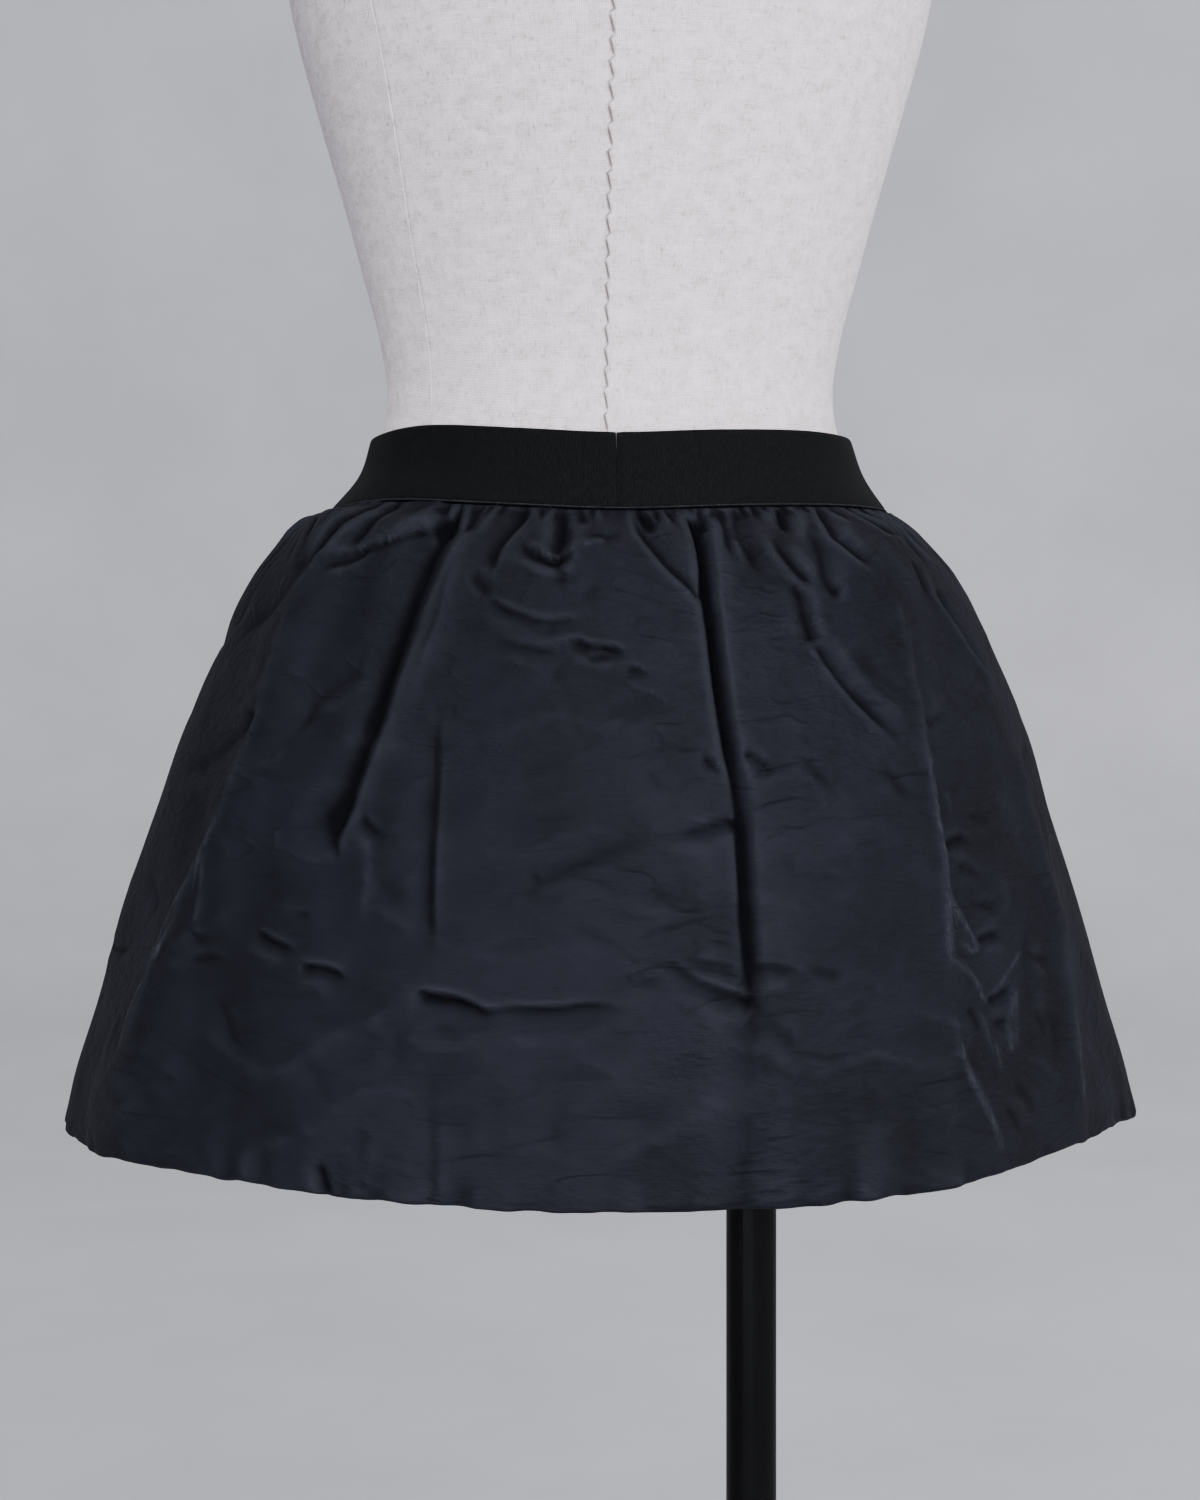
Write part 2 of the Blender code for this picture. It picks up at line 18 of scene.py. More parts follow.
import bpy
import numpy as np
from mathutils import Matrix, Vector

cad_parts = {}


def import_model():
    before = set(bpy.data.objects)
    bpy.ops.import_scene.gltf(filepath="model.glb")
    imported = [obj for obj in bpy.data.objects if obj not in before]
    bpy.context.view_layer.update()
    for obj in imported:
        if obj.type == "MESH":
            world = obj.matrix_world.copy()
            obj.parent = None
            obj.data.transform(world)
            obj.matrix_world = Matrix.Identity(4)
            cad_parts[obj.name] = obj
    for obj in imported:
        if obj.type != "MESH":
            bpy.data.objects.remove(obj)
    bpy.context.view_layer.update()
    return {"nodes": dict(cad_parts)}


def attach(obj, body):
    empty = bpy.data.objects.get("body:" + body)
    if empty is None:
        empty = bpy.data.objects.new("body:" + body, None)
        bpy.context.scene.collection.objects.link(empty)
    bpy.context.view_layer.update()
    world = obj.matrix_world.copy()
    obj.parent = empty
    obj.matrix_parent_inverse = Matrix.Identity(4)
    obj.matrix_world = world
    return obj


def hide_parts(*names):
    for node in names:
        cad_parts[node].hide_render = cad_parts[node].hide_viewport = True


log = logging.getLogger("skirt")

WAIST_SEAM_Z = 0.9522
BAND_TOP_Z = 0.990
HEM_DROP = 0.3112
SEAM_GAP = 0.0003
MM = 0.001


class SkirtSection(NamedTuple):
    """Half sizes of the skirt's outside at one drop, and how pointed its +X side is."""

    drop: float
    left: float
    right: float
    back: float
    front: float
    lens: float


class Wave(NamedTuple):
    """A slow rise of an edge: the angle of its crest, its spread in degrees and its height."""

    angle: float
    spread: float
    rise: float


class Fold(NamedTuple):
    """One of the large folds that the solids have too. A negative depth is a ridge."""

    path: tuple[tuple[float, float], ...]
    top_depth: float
    low_depth: float
    top_width: float
    low_width: float


class Crease(NamedTuple):
    """A crease that only the cloth here has, along (degrees, mm) points.

    depths are at the path's start and end, and below 0 for a ridge. reach and form are its slopes'
    sizes and shapes, first on the lower angles' side, or below a level crease, and then on the
    other: a form is 2 for a round slope, near 1 for a creased one and 0 for a straight wall.
    shoulder raises the cloth beside it, fades are shares of its length, and low_reach is the reach
    at its end. Sizes are in mm.
    """

    path: tuple[tuple[float, float], ...]
    depths: tuple[float, float]
    reach: tuple[float, float]
    form: tuple[float, float] = (1.4, 1.4)
    shoulder: float = 0.0
    fades: tuple[float, float] = (0.3, 0.4)
    low_reach: tuple[float, float] | None = None


class PressedEdge(NamedTuple):
    """A thin line where the cloth is pressed and rubbed shiny, with a painted highlight, along
    (degrees, mm) points.
    """

    path: tuple[tuple[float, float], ...]
    strength: float
    width: float


class Gather(NamedTuple):
    """A gather's valley under the elastic: its start, how far it leans and runs, in mm."""

    angle: float
    lean: float
    length: float
    depth: float
    width: float


def paired(row: Sequence[float]) -> tuple[tuple[float, float], ...]:
    """The points of a path that is written as one row: angle, drop, angle, drop."""
    return tuple(zip(row[::2], row[1::2]))


SKIRT_SECTIONS = tuple(SkirtSection(*row) for row in (
    (0, 0.1455, 0.1435, 0.107, 0.1085, 0),
    (0.004, 0.156, 0.1475, 0.1135, 0.115, 0),
    (0.01, 0.165, 0.156, 0.121, 0.1225, 0),
    (0.016, 0.1705, 0.1627, 0.127, 0.129, 0.01),
    (0.028, 0.1805, 0.1743, 0.136, 0.139, 0.02),
    (0.041, 0.1885, 0.1824, 0.143, 0.147, 0.04),
    (0.066, 0.1995, 0.1948, 0.153, 0.158, 0.08),
    (0.103, 0.2158, 0.2113, 0.1645, 0.17, 0.15),
    (0.153, 0.233, 0.2265, 0.1765, 0.182, 0.24),
    (0.202, 0.2493, 0.2422, 0.1865, 0.192, 0.32),
    (0.252, 0.2635, 0.256, 0.1945, 0.2, 0.4),
    (0.29, 0.2745, 0.267, 0.1985, 0.205, 0.44),
    (0.3112, 0.2775, 0.2712, 0.2, 0.207, 0.45),
))
WAIST_WAVES = (
    Wave(-48, 22, 0.0034),
    Wave(2, 17, -0.0020),
    Wave(52, 20, 0.0010),
    Wave(140, 24, 0.0022),
    Wave(-150, 22, 0.0016),
)
HEM_WAVES = (
    Wave(-46, 26, 0.0042),
    Wave(60, 22, 0.0055),
    Wave(128, 24, 0.0036),
    Wave(-140, 28, 0.0045),
)
FOLDS = tuple(Fold(paired(row[0]), *row[1:]) for row in (
    ((-36, 0.012, -33, 0.06, -35, 0.1, -38, 0.15), -0.005, -0.003, 0.018, 0.02),
    ((-55, 0.01, -50, 0.042, -48.5, 0.105, -53, 0.206, -57, 0.29), -0.008, -0.008, 0.02, 0.027),
    ((58.5, 0.01, 42, 0.08, 39.8, 0.168, 41, 0.225, 40, 0.301), -0.002, -0.002, 0.014, 0.016),
    ((66, 0.13, 63.5, 0.211, 56.8, 0.29), -0.003, -0.003, 0.01, 0.012),
    ((117, 0.003, 112, 0.05, 108, 0.15), 0.009, 0.003, 0.01, 0.009),
    ((143, 0.003, 146, 0.06, 147, 0.19, 145, 0.311), 0.012, 0.004, 0.01, 0.009),
    ((168, 0.003, 171, 0.05, 173, 0.12), 0.007, 0.003, 0.008, 0.007),
    ((199, 0.003, 196, 0.06, 194, 0.17, 197, 0.311), 0.013, 0.004, 0.011, 0.009),
    ((222, 0.003, 226, 0.045, 231, 0.11), 0.008, 0.004, 0.008, 0.007),
    ((247, 0.003, 250, 0.07, 254, 0.18), 0.01, 0.003, 0.01, 0.009),
    ((128, 0.06, 128, 0.18, 124, 0.3), -0.003, -0.003, 0.016, 0.02),
    ((236, 0.08, 239, 0.19, 243, 0.3), -0.003, -0.003, 0.016, 0.02),
))

# Valleys under the elastic on the centre-back side, from -X to +X
BACK_GATHERS = tuple(Gather(*row) for row in (
    (-84, 4, 30, 3, 3),
    (-78, 5, 44, 3.5, 3.4),
    (-71, 6, 26, 2.6, 2.6),
    (-65, 6, 36, 3, 3),
    (-60, 6, 30, 3.4, 2.6),
    (-55.5, 2, 14, 2.6, 2),
    (-29.4, 4.5, 18, 3.4, 1.9),
    (-24.5, 0.8, 6, 2.4, 1.4),
    (-22.9, 0.5, 7, 2.2, 1.4),
    (-20.2, 0, 5, 2, 1.3),
    (-13, 1.5, 9, 2.6, 1.5),
    (-11.6, 0, 5, 2, 1.3),
    (-3.7, 0.6, 5, 1.8, 1.3),
    (5, 1.8, 11, 3, 1.6),
    (8.2, 0.8, 8, 2.6, 1.4),
    (9.9, 1.5, 9, 2.8, 1.5),
    (11.4, 0.4, 5, 2, 1.3),
    (15.1, 0, 6, 2.4, 1.4),
    (16.9, -1.8, 10, 3, 1.6),
    (25.6, 0.4, 5, 2.2, 1.3),
    (28, -1, 8, 2.4, 1.4),
    (30.2, 0.2, 5, 1.8, 1.3),
    (35.4, 0, 5, 2, 1.3),
    (40.2, 0.4, 5, 2, 1.3),
    (53.2, 5, 20, 3, 2),
    (59.9, 3, 24, 3.2, 2.4),
    (66, -3, 34, 3.4, 3),
    (72, -3.5, 22, 2.8, 2.6),
    (78, -4, 40, 3.4, 3.2),
    (84, -3, 26, 2.8, 2.6),
))

# How a crease's slopes, its raised sides and its ends are shaped, for the common kinds
PUCKER = ((1.3, 1.3), 0.2, (0.3, 0.4))
SWELL = ((1.6, 1.5), 0, (0.35, 0.35))
FAINT = ((1.6, 1.6), 0, (0.4, 0.4))
SOFT = ((1.5, 1.5), 0, (0.3, 0.4))
PLAIN = ((1.4, 1.4), 0.1, (0.3, 0.4))
HEM_WAVE = ((1.6, 1.5), 0, (0.35, 0))
ROUND = ((1.6, 1.6), 0, (0.35, 0.35))
HOLLOW = ((1.5, 1.5), 0, (0.35, 0.35))
TUCK = ((1.4, 1.4), 0.3, (0, 0.4))
BROAD = ((1.8, 1.8), 0, (0.4, 0.4))
NIP = ((1.3, 1.2), 0.3, (0.1, 0.4))
FLUTE = ((1.6, 1.4), 0, (0.35, 0))

# The creases on the centre-back side
BACK_CREASES = tuple(Crease(paired(row[0]), *row[1:]) for row in (
    # The deep fall left of the centre: a lit slope, then a dark wall
    ((-30.9, 4.4, -28.8, 13.2, -28.6, 21.2, -28.8, 35.2, -29.2, 50.3, -29.6, 66.3, -30.2, 83.1,
    -30.6, 99.5, -31.6, 116.7, -32.4, 133, -33.1, 143.8, -33.6, 154.2, -33.9, 164.2), (9, 6.4),
    (24, 9.6), (1.15, 0), 0, (0.06, 0.16), (20, 5.6)),
    ((-23.8, 26, -24.1, 37.2, -24.2, 51.9, -25.1, 67.5, -25.9, 85.9, -26.8, 103.9), (-1.2, -1.4),
    (2, 6), (1.3, 1.5), 0, (0.2, 0.4)),
    # The long fall right of the centre: a wall above, a gentle slope below
    ((14, 3.6, 14.1, 12, 13.9, 23.6, 13.4, 39.9, 13.5, 60.7, 13.6, 90.7, 13.9, 110.7, 14.4, 123.4,
    14.8, 140.2, 14.6, 161), (7.6, 5.6), (2, 6.8), (0, 0), 0, (0.05, 0.34), (2.4, 6.6)),
    ((13.5, 110.7, 14.3, 123.8, 14.6, 140.6, 14.6, 161.4, 14.4, 182.2, 14.3, 202.9, 14.5, 219.3,
    14.8, 223.7, 13.9, 244.5, 13.2, 264.9, 12.8, 285.6, 12.2, 306, 12.1, 311.2), (4.4, 3), (11, 7),
    (1.3, 1.1), 0, (0.24, 0), (13, 17)),
    ((14.9, 133.8, 14.6, 161.4, 14.4, 182.2, 14.3, 202.9, 14.5, 219.3), (4.4, 3.4), (2.4, 7), (0, 0),
    0, (0.2, 0.3)),
    ((14.1, 202.9, 14.4, 219.3, 14.8, 224.5, 13.9, 244.5), (1.8, 1.2), (2.2, 2.6), (1.2, 1.3), 0,
    (0.4, 0.5)),
    # Where the long fall starts, from the centre back
    ((3.9, 2, 5, 11.2, 6.8, 19.6, 8.6, 27.6, 10.6, 34.4, 11.9, 38.8, 12.8, 44.7), (2.8, 3.4),
    (1.4, 5.6), (1.3, 1.2), 0.15, (0, 0.1)),
    # The upright crease and the level one that it ends in
    ((-22.5, 89.5, -21.8, 105.5, -21.2, 121, -20.9, 136.6, -20.4, 161.8, -19.8, 182.6, -19, 205.3),
    (1.8, 3.6), (10, 3.4), (1.4, 0), 0, (0.3, 0.22)),
    ((-20.1, 218.5, -17.9, 220.1, -15.9, 220.9, -13.8, 224.1, -12.6, 226.1, -10.2, 225.3), (3.8, 3.4),
    (6.5, 1.3), (1.15, 0), 0.25, (0.1, 0.3)),
    ((-12.6, 226.1, -10.2, 224.9, -7.4, 224.5, -4.5, 223.7, -2.6, 222.5, 0.4, 224.1, 3.6, 225.7),
    (3, 1.8), (5.5, 1.3), (1.15, 0), 0.25),
    ((-18.4, 232.5, -16, 236.1, -14.1, 240.9), (1.4, 0.8), (4, 3), *SOFT),
    # Right of the long fall, under the elastic
    ((35, 0, 33.1, 4.4, 30, 14.4), (4.8, 3.6), (3.2, 3), (1.5, 1.4), 0.3, (0, 0.3)),
    ((28, 12.8, 27.8, 22, 28.6, 28.4, 29.6, 33.2, 31.1, 38.8), (2.4, 2.8), (2.4, 3), (1.4, 1.3), 0.25,
    (0.3, 0.2)),
    ((20.9, 2, 20.2, 7.2, 19.6, 14, 19.2, 20.4, 19.5, 30.4), (3.6, 2.4), (2.8, 2.6), (1.4, 1.4), 0.25,
    (0, 0.35)),
    ((24.2, 0, 22.4, 8.8, 22, 15.2, 22.2, 21.2, 22.4, 29.6, 23, 39.1), (4.6, 3.2), (4, 5.4),
    (1.5, 1.5), 0.15, (0, 0.4)),
    ((19.9, 0.8, 17.2, 5.2, 15.4, 11.2), (3.2, 3), (2.6, 2.6), (1.4, 1.4), 0.2, (0, 0.2)),
    ((29.5, 0, 29, 0.8, 27.8, 4.4), (3.4, 2), (2.4, 2.4), (1.5, 1.5), 0.3, (0, 0.5)),
    ((38.8, 0, 39.4, 0.4, 38.8, 4.4), (3.4, 2), (2.6, 2.4), (1.5, 1.5), 0.3, (0, 0.5)),
    ((37.1, 12, 36.1, 17.6, 34.8, 26.8, 34.1, 35.6, 34.8, 40.7, 35.8, 43.5), (3, 3.6), (4.6, 5),
    (1.5, 1.5), 0.1, (0.3, 0.2)),
    ((44.6, 0, 43.6, 3.2, 41.2, 14, 41.8, 18.4, 43.2, 24.8, 46.4, 31.6), (3.6, 2.6), (2.6, 4),
    (1.4, 1.4), 0.25, (0, 0.25)),
    ((47.6, 0, 48.5, 3.6, 49.6, 8.4), (2.4, 1.8), (2, 3), *TUCK),
    ((53.8, 0, 57.5, 0.4, 59, 4.4, 57.4, 9.6), (2, 1.4), (2, 3), (1.4, 1.5), 0.25, (0, 0.4)),
    ((54.8, 12, 57.6, 13.2, 60.5, 15.2), (1.6, 1.4), (1.2, 2.4), (1.3, 1.4), 0.3, (0.2, 0.4)),
    ((56.8, 24.8, 56.9, 34.4, 56.5, 45.1), (1.2, 1.4), (2.4, 3.2), (1.5, 1.5), 0.1),
    # The slanting crease on the right
    ((27.4, 34.4, 28.1, 43.1, 28.2, 53.9, 28.5, 64.3), (2.8, 3.2), (3.4, 3), (1.4, 1.4), 0.15,
    (0.3, 0.05)),
    ((28.5, 63.5, 30, 74.3, 31.4, 83.5, 33.6, 93.5, 35.9, 102.7, 39, 115.1), (2.6, 2.6), (1.5, 4.2),
    (1.2, 1.4), 0.25, (0.1, 0.3)),
    ((35.5, 63.1, 37.4, 77.9, 40.6, 91.1), (1.2, 1.2), (6, 6), (1.8, 1.8), 0, (0.3, 0.3)),
    ((23.4, 114.7, 25, 122.6, 27.9, 134.6), (1.2, 1), (2, 2.6), *PLAIN),
    ((34.6, 120.6, 36.2, 130.2, 38, 139.8), (1.2, 1), (2, 2.6), *PLAIN),
    # Short creases that cross the long fall
    ((11, 114.7, 11.8, 117.8, 12.5, 120.6, 13.5, 119.8), (2.4, 1.6), (2.4, 1.4), (1.2, 1.2), 0.2,
    (0.2, 0.2)),
    ((16, 113.1, 17.6, 116.3, 18.9, 120.2, 19.6, 125.8), (2.2, 1.2), (2.4, 1.5), (1.2, 1.2), 0.2,
    (0.1, 0.5)),
    ((5.1, 149.8, 7.9, 148.2, 11.2, 145.8, 13.5, 143, 14.6, 147), (1.4, 2.2), (3.6, 1.4), (1.3, 1.2),
    0.2, (0.4, 0.1)),
    ((3.7, 200.1, 6.2, 206.5, 8.6, 212.9, 11, 217.3, 13.4, 220.5, 14.5, 222.5), (1.2, 3), (4.4, 1.4),
    (1.3, 1.2), 0.25, (0.4, 0.05)),
    ((7.1, 205.3, 10.1, 206.1, 13.2, 207.7), (1.2, 1.6), (3.2, 1.4), (1.3, 1.2), 0.2, (0.4, 0.2)),
    ((15, 207.3, 17.1, 207.7, 18.9, 209.7, 19.9, 211.7), (2, 1.4), (3.6, 1.4), (1.3, 1.2), 0.2,
    (0.1, 0.4)),
    ((20.6, 209.3, 23.1, 211.7, 25.5, 214.9), (1.3, 1), (3.6, 1.6), (1.4, 1.3), 0.1),
    ((14.8, 228.9, 16.2, 231.7, 17.9, 238.9, 18.8, 237.3), (1.6, 1.4), (5, 4), *SOFT),
    ((14.9, 242.1, 15.2, 249.7, 15, 257.3), (1.2, 1), (2.5, 4), (1.4, 1.5)),
    ((3.9, 119.4, 4.9, 125.8, 5.9, 132.2), (1, 0.9), (3, 3.4), (1.5, 1.5), 0, (0.4, 0.4)),
    # The middle field, under the elastic
    ((-16.1, 0.4, -15.6, 5.6, -16.8, 12, -17.9, 19.6, -18.1, 25.2, -18.2, 34), (4.4, 2.8), (8, 3),
    (1.4, 0), 0.12, (0, 0.25)),
    ((-21.4, 29.2, -19.9, 36, -18.5, 40.3, -17.9, 43.1), (1.6, 1.4), (1.6, 2.8), (1.2, 1.4), 0.2,
    (0.3, 0.2)),
    ((-15, 17.6, -12.8, 21.2, -10.8, 24, -9.2, 25.2, -7.8, 24, -6.8, 22.4, -5.1, 18.8), (3.4, 3),
    (2.6, 1.3), (1.3, 0), 0.3, (0.3, 0.35)),
    ((-8.2, 26, -7.4, 33.2, -6.2, 38.8), (2, 1.2), (3, 3), (1.5, 1.5), 0.1, (0, 0.4)),
    ((-8.8, 0, -8.1, 9.2, -8.2, 18.8, -8.5, 23.2), (5, 3), (3.2, 3.2), (1.5, 1.3), 0.25, (0, 0.1)),
    ((-5.9, 0, -5.2, 3.2, -4.6, 9.6), (4, 2.4), (2.6, 2.6), *TUCK),
    ((-5.1, 18.4, -2.8, 16, -0.4, 14.4), (-1.6, -1.2), (2.6, 2), (1.5, 1.5), 0, (0.3, 0.3)),
    ((-3.9, 10.8, -1.4, 12.8, 0.5, 12.4, 2.5, 8.4), (1.4, 1.4), (3, 2.6), *SOFT),
    ((-1.4, 36, -2.9, 39.5, -4.2, 47.1), (1.1, 0.9), (3.4, 3.4), *FAINT),
    ((6.6, 0, 6.9, 5.2, 7, 11.6), (4, 2.4), (2.6, 2.6), *TUCK),
    ((-18.2, 44.3, -15.2, 48.3, -12.9, 51.1, -10.6, 53.5, -8.5, 54.3, -6.5, 53.9, -4.6, 52.7,
    -1.4, 53.5), (1.9, 1.8), (3.4, 1.2), (1.15, 0), 0.3, (0.15, 0.4)),
    ((-17.2, 63.9, -14, 64.7, -12, 65.9, -9.8, 67.1, -7.8, 67.9, -5.8, 68.3), (1.5, 1.4), (3, 1.2),
    (1.15, 0), 0.25),
    ((-6.6, 63.5, -4.5, 63.5, -2.8, 65.1, -0.6, 65.9, 0.6, 66.7, 1.9, 69.1), (2.3, 2.8), (3.2, 1.2),
    (1.15, 0), 0.35, (0.3, 0.25)),
    ((-3.2, 70.3, -1.6, 69.5, 0.2, 69.9), (1.7, 1.7), (2.6, 1.2), (1.3, 0), 0.2, (0.3, 0.3)),
    ((1.8, 74.7, 3.2, 75.9, 5.2, 79.1), (1.7, 1.4), (2.4, 1.1), (1.3, 0), 0.2),
    ((-8.1, 55.9, -7.8, 62.7), (1, 0.8), (3, 3), (1.6, 1.6)),
    ((-8.2, 75.1, -7.1, 78.7, -6.5, 85.1), (0.9, 0.8), (4, 4), (1.7, 1.7), 0, (0.4, 0.4)),
    # The middle field, below
    ((-9.9, 182.2, -9, 176.6, -8, 171.8, -4.9, 165, -0.2, 157, 5.2, 147.8), (1, 1.5), (2.6, 5),
    (1.4, 1.4), 0.1, (0.35, 0.2)),
    ((-9, 165, -8.2, 167.4, -7.8, 166.6), (1.4, 1.2), (2, 1.3), (1.3, 1.2), 0.2),
    ((-5.2, 188.2, -3.1, 190.2, -1.1, 194.2, 2.2, 202.1), (1.1, 1), (3.4, 1.8), (1.4, 1.3), 0.15,
    (0.4, 0.4)),
    ((-16.6, 89.9, -11.2, 95.1, -5.6, 92.3), (0.6, 0.6), (6, 6), *BROAD),
    ((-13, 125.4, -7.8, 119.8, -2.5, 123.4), (0.6, 0.6), (6, 5), *BROAD),
    ((-1.4, 98.7, 3.5, 91.9, 9, 95.1), (0.6, 0.7), (6, 5), *BROAD),
    ((-14.8, 199.7, -10.8, 196.9, -7.4, 198.9), (0.7, 0.6), (4, 3), *FAINT),
    ((-1.2, 213.7, 2.9, 213.3, 6.5, 216.9), (0.9, 0.8), (3.6, 2), (1.4, 1.4), 0.1, (0.4, 0.4)),
    # Left of the left fall, under the elastic
    ((-49.5, 0.8, -48.5, 8.4, -49.9, 14.8, -50, 23.6, -49.2, 32), (3, 1.8), (2.6, 2.4), (1.4, 1.3),
    0.25, (0, 0.3)),
    ((-44.8, 0, -43.6, 5.6, -43.9, 12, -44.1, 20.4, -43.8, 27.6), (4.6, 2.4), (4.4, 4), (1.5, 1.5),
    0.15, (0, 0.35)),
    ((-40.6, 20.4, -41.1, 26, -43, 29.6, -45.9, 33.2, -48.2, 36.8), (1.8, 1.8), (3.4, 1.4),
    (1.4, 1.2), 0.25, (0.2, 0.4)),
    ((-39.1, 15.6, -39.5, 36.4, -41.5, 57.1, -43.2, 76.3, -43.5, 92.7, -43.8, 122.6), (1.2, 0.9),
    (11, 10), (1.8, 1.8)),
    ((-33.6, 77.1, -36.9, 83.5, -39.4, 90.3, -41.9, 109.9, -42.8, 123.4), (1.6, 1.2), (5, 3),
    (1.5, 1.4), 0, (0.2, 0.4)),
    ((-31.6, 0, -31.4, 2.4, -28.9, 8.8, -26.3, 16.4), (4.4, 3.2), (2.8, 3), (1.3, 1.3), 0.3,
    (0, 0.2)),
    ((-26.6, 0, -24.6, 6.8, -24.5, 15.6), (3.8, 2.6), (2.8, 3), (1.4, 1.4), 0.2, (0, 0.3)),
    # Long folds down the left side
    ((-59, 7.2, -73.5, 8.8, -71.6, 22.8, -70.5, 39.1, -72.1, 55.9, -90.8, 73.5, -89.1, 90.3,
    -84, 106.7, -83.8, 123.8), (1.6, 1.2), (6, 4.5), (1.5, 1.5), 0.1, (0.05, 0.35)),
    ((-51.1, 19.6, -52.1, 28.8, -52.4, 35.6, -54.1, 44.3, -58, 52.3, -64.1, 59.5, -68.8, 71.1,
    -71.8, 83.5), (3, 2.6), (8, 5), (1.6, 1.4), 0, (0.25, 0.4)),
    ((-50, 12.8, -50, 24, -50.6, 35.2, -51, 44.7, -50.8, 53.1), (1.4, 1), (2.2, 2.2), (1.4, 1.4), 0.1,
    (0.1, 0.4)),
    ((-49.5, 97.9, -51.8, 109.9, -62.4, 123.8, -72.2, 134.6), (2.4, 1.4), (7, 5.5), (1.6, 1.5), 0,
    (0.1, 0.4)),
    ((-49.6, 16.8, -49.5, 28.8, -50.4, 39.9, -50.9, 48.3, -50, 61.9, -49.5, 77.9, -48.9, 99.1,
    -49.5, 114.7), (-0.9, -1.1), (1.6, 3.4), (1.2, 1.4), 0, (0.2, 0.1)),
    ((-48.9, 99.1, -49.5, 114.7, -50.5, 135, -52.4, 153.4, -52.9, 165.8, -53.5, 175.8), (-1.1, -1.3),
    (1.6, 3), (1.1, 1.3), 0, (0.1, 0.1)),
    ((-53.2, 164.2, -53.5, 175.8, -54.6, 191.4, -55.8, 204.5, -56.4, 221.3, -56.9, 237.7,
    -57.5, 252.9, -58.5, 267.7, -61.5, 280, -65.4, 287.6), (-1.3, -1), (1.6, 2.8), (1.1, 1.3), 0,
    (0.1, 0.3)),
    ((-54.1, 178.6, -54, 201.3, -58.6, 216.5, -62.2, 241.7, -65.8, 262.5, -66.2, 276), (-1.2, -1),
    (1.6, 2), (1.2, 1.3), 0, (0.3, 0.3)),
    ((-51.2, 168.6, -50.4, 186.6, -49.8, 199.7), (-1.2, -0.8), (1.8, 2.4), (1.3, 1.4)),
    # Short creases low on the left
    ((-30.2, 143.8, -29.2, 145.4, -27.8, 149.4, -25.5, 151.8), (2.6, 1.4), (2.8, 1.4), *NIP),
    ((-31.8, 163.4, -33, 156.6, -34.1, 153), (1.6, 1.2), (1.6, 1.6), *PUCKER),
    ((-29.1, 146.2, -28.1, 162.2, -27.5, 180.2, -27.8, 196.9), (-1, -1.2), (6, 2.4), (1.6, 1.3), 0,
    (0.2, 0.4)),
    ((-26.8, 169.8, -24.5, 175, -23.4, 184.2), (1.2, 1), (4.5, 4.5), (1.7, 1.7)),
    ((-37.2, 187.4, -35.4, 187.8, -33.8, 189.4), (1.8, 1.5), (2.4, 1.3), (1.3, 1.2), 0.2),
    ((-42, 196.9, -39.5, 200.1, -37.5, 202.1, -35.6, 204.1), (2.8, 2.4), (3, 1.3), (1.3, 1.2), 0.3,
    (0.2, 0.3)),
    ((-34.5, 210.9, -32, 210.9, -30, 212.1, -28.2, 215.7), (3, 2.6), (3.2, 1.3), (1.3, 1.2), 0.3,
    (0.15, 0.3)),
    ((-83.4, 218.9, -72.4, 217.7, -64.2, 212.1), (1.5, 1.2), (3, 2), (1.3, 1.3), 0.2, (0.2, 0.4)),
    ((-51, 200.5, -49.4, 203.3, -47.2, 203.3), (1.9, 1.5), (2.6, 1.5), *PUCKER),
    ((-50.5, 214.5, -48.1, 211.3, -45, 211.3), (1.9, 1.6), (2.6, 1.5), *PUCKER),
    ((-45, 224.5, -44, 234.1, -41.9, 246.1, -38.5, 257.3), (1.4, 1.2), (3, 4.5), *SOFT),
    ((-33.5, 229.7, -31, 233.3, -28, 230.9), (0.9, 0.9), (4, 3), *FAINT),
    ((-37.1, 284, -32.6, 284.8, -28.8, 289.6), (0.9, 0.8), (4, 3), *FAINT),
    ((-54.6, 278, -50.3, 280.8, -45, 278), (0.9, 0.8), (4, 3), *FAINT),
    # Soft upright waves that run into the hem
    ((-18.4, 240.9, -17.5, 268.9, -17, 290.4, -16.9, 309.6), (0.8, 1.1), (9, 3), *FLUTE),
    ((-11.6, 242.1, -11, 272.1, -10.4, 308), (0.6, 0.8), (8, 3.4), *FLUTE),
    ((-5, 246.1, -4.6, 275.6, -4.1, 309.2), (0.5, 0.7), (8, 4), *HEM_WAVE),
    ((-25, 271.7, -24.2, 288, -24, 306), (0.6, 1), (6, 2.4), *FLUTE),
    ((-28.4, 296.8, -28.1, 302, -27.6, 308), (2, 3.6), (2.6, 1.8), (1.4, 1.2), 0.1, (0.3, 0)),
    ((2.8, 254.5, 2.9, 280, 3.1, 310), (0.4, 0.7), (9, 4), *HEM_WAVE),
    ((22.9, 257.7, 22.8, 283.6, 22.6, 311.2), (0.5, 0.7), (7, 4), *HEM_WAVE),
    ((30.5, 260.5, 30.4, 282.4, 30.5, 309.2), (0.5, 0.7), (7, 4), *HEM_WAVE),
    ((-35.9, 274.8, -35, 292, -34.8, 308), (0.5, 0.8), (7, 4), *HEM_WAVE),
    ((24.4, 273.6, 25.6, 270.9, 26.9, 268.1), (0.6, 0.5), (3, 4), (1.5, 1.5), 0, (0.4, 0.4)),
    ((30.8, 299.6, 32.4, 296, 34.5, 298), (0.7, 0.6), (3, 3), *SOFT),
    # The pressed ridge on the right, and the puckers that break it
    ((45.5, 32.8, 45.8, 44.7, 45.4, 55.9, 43.6, 78.3, 42.9, 100.3, 42, 113.9, 41.9, 125),
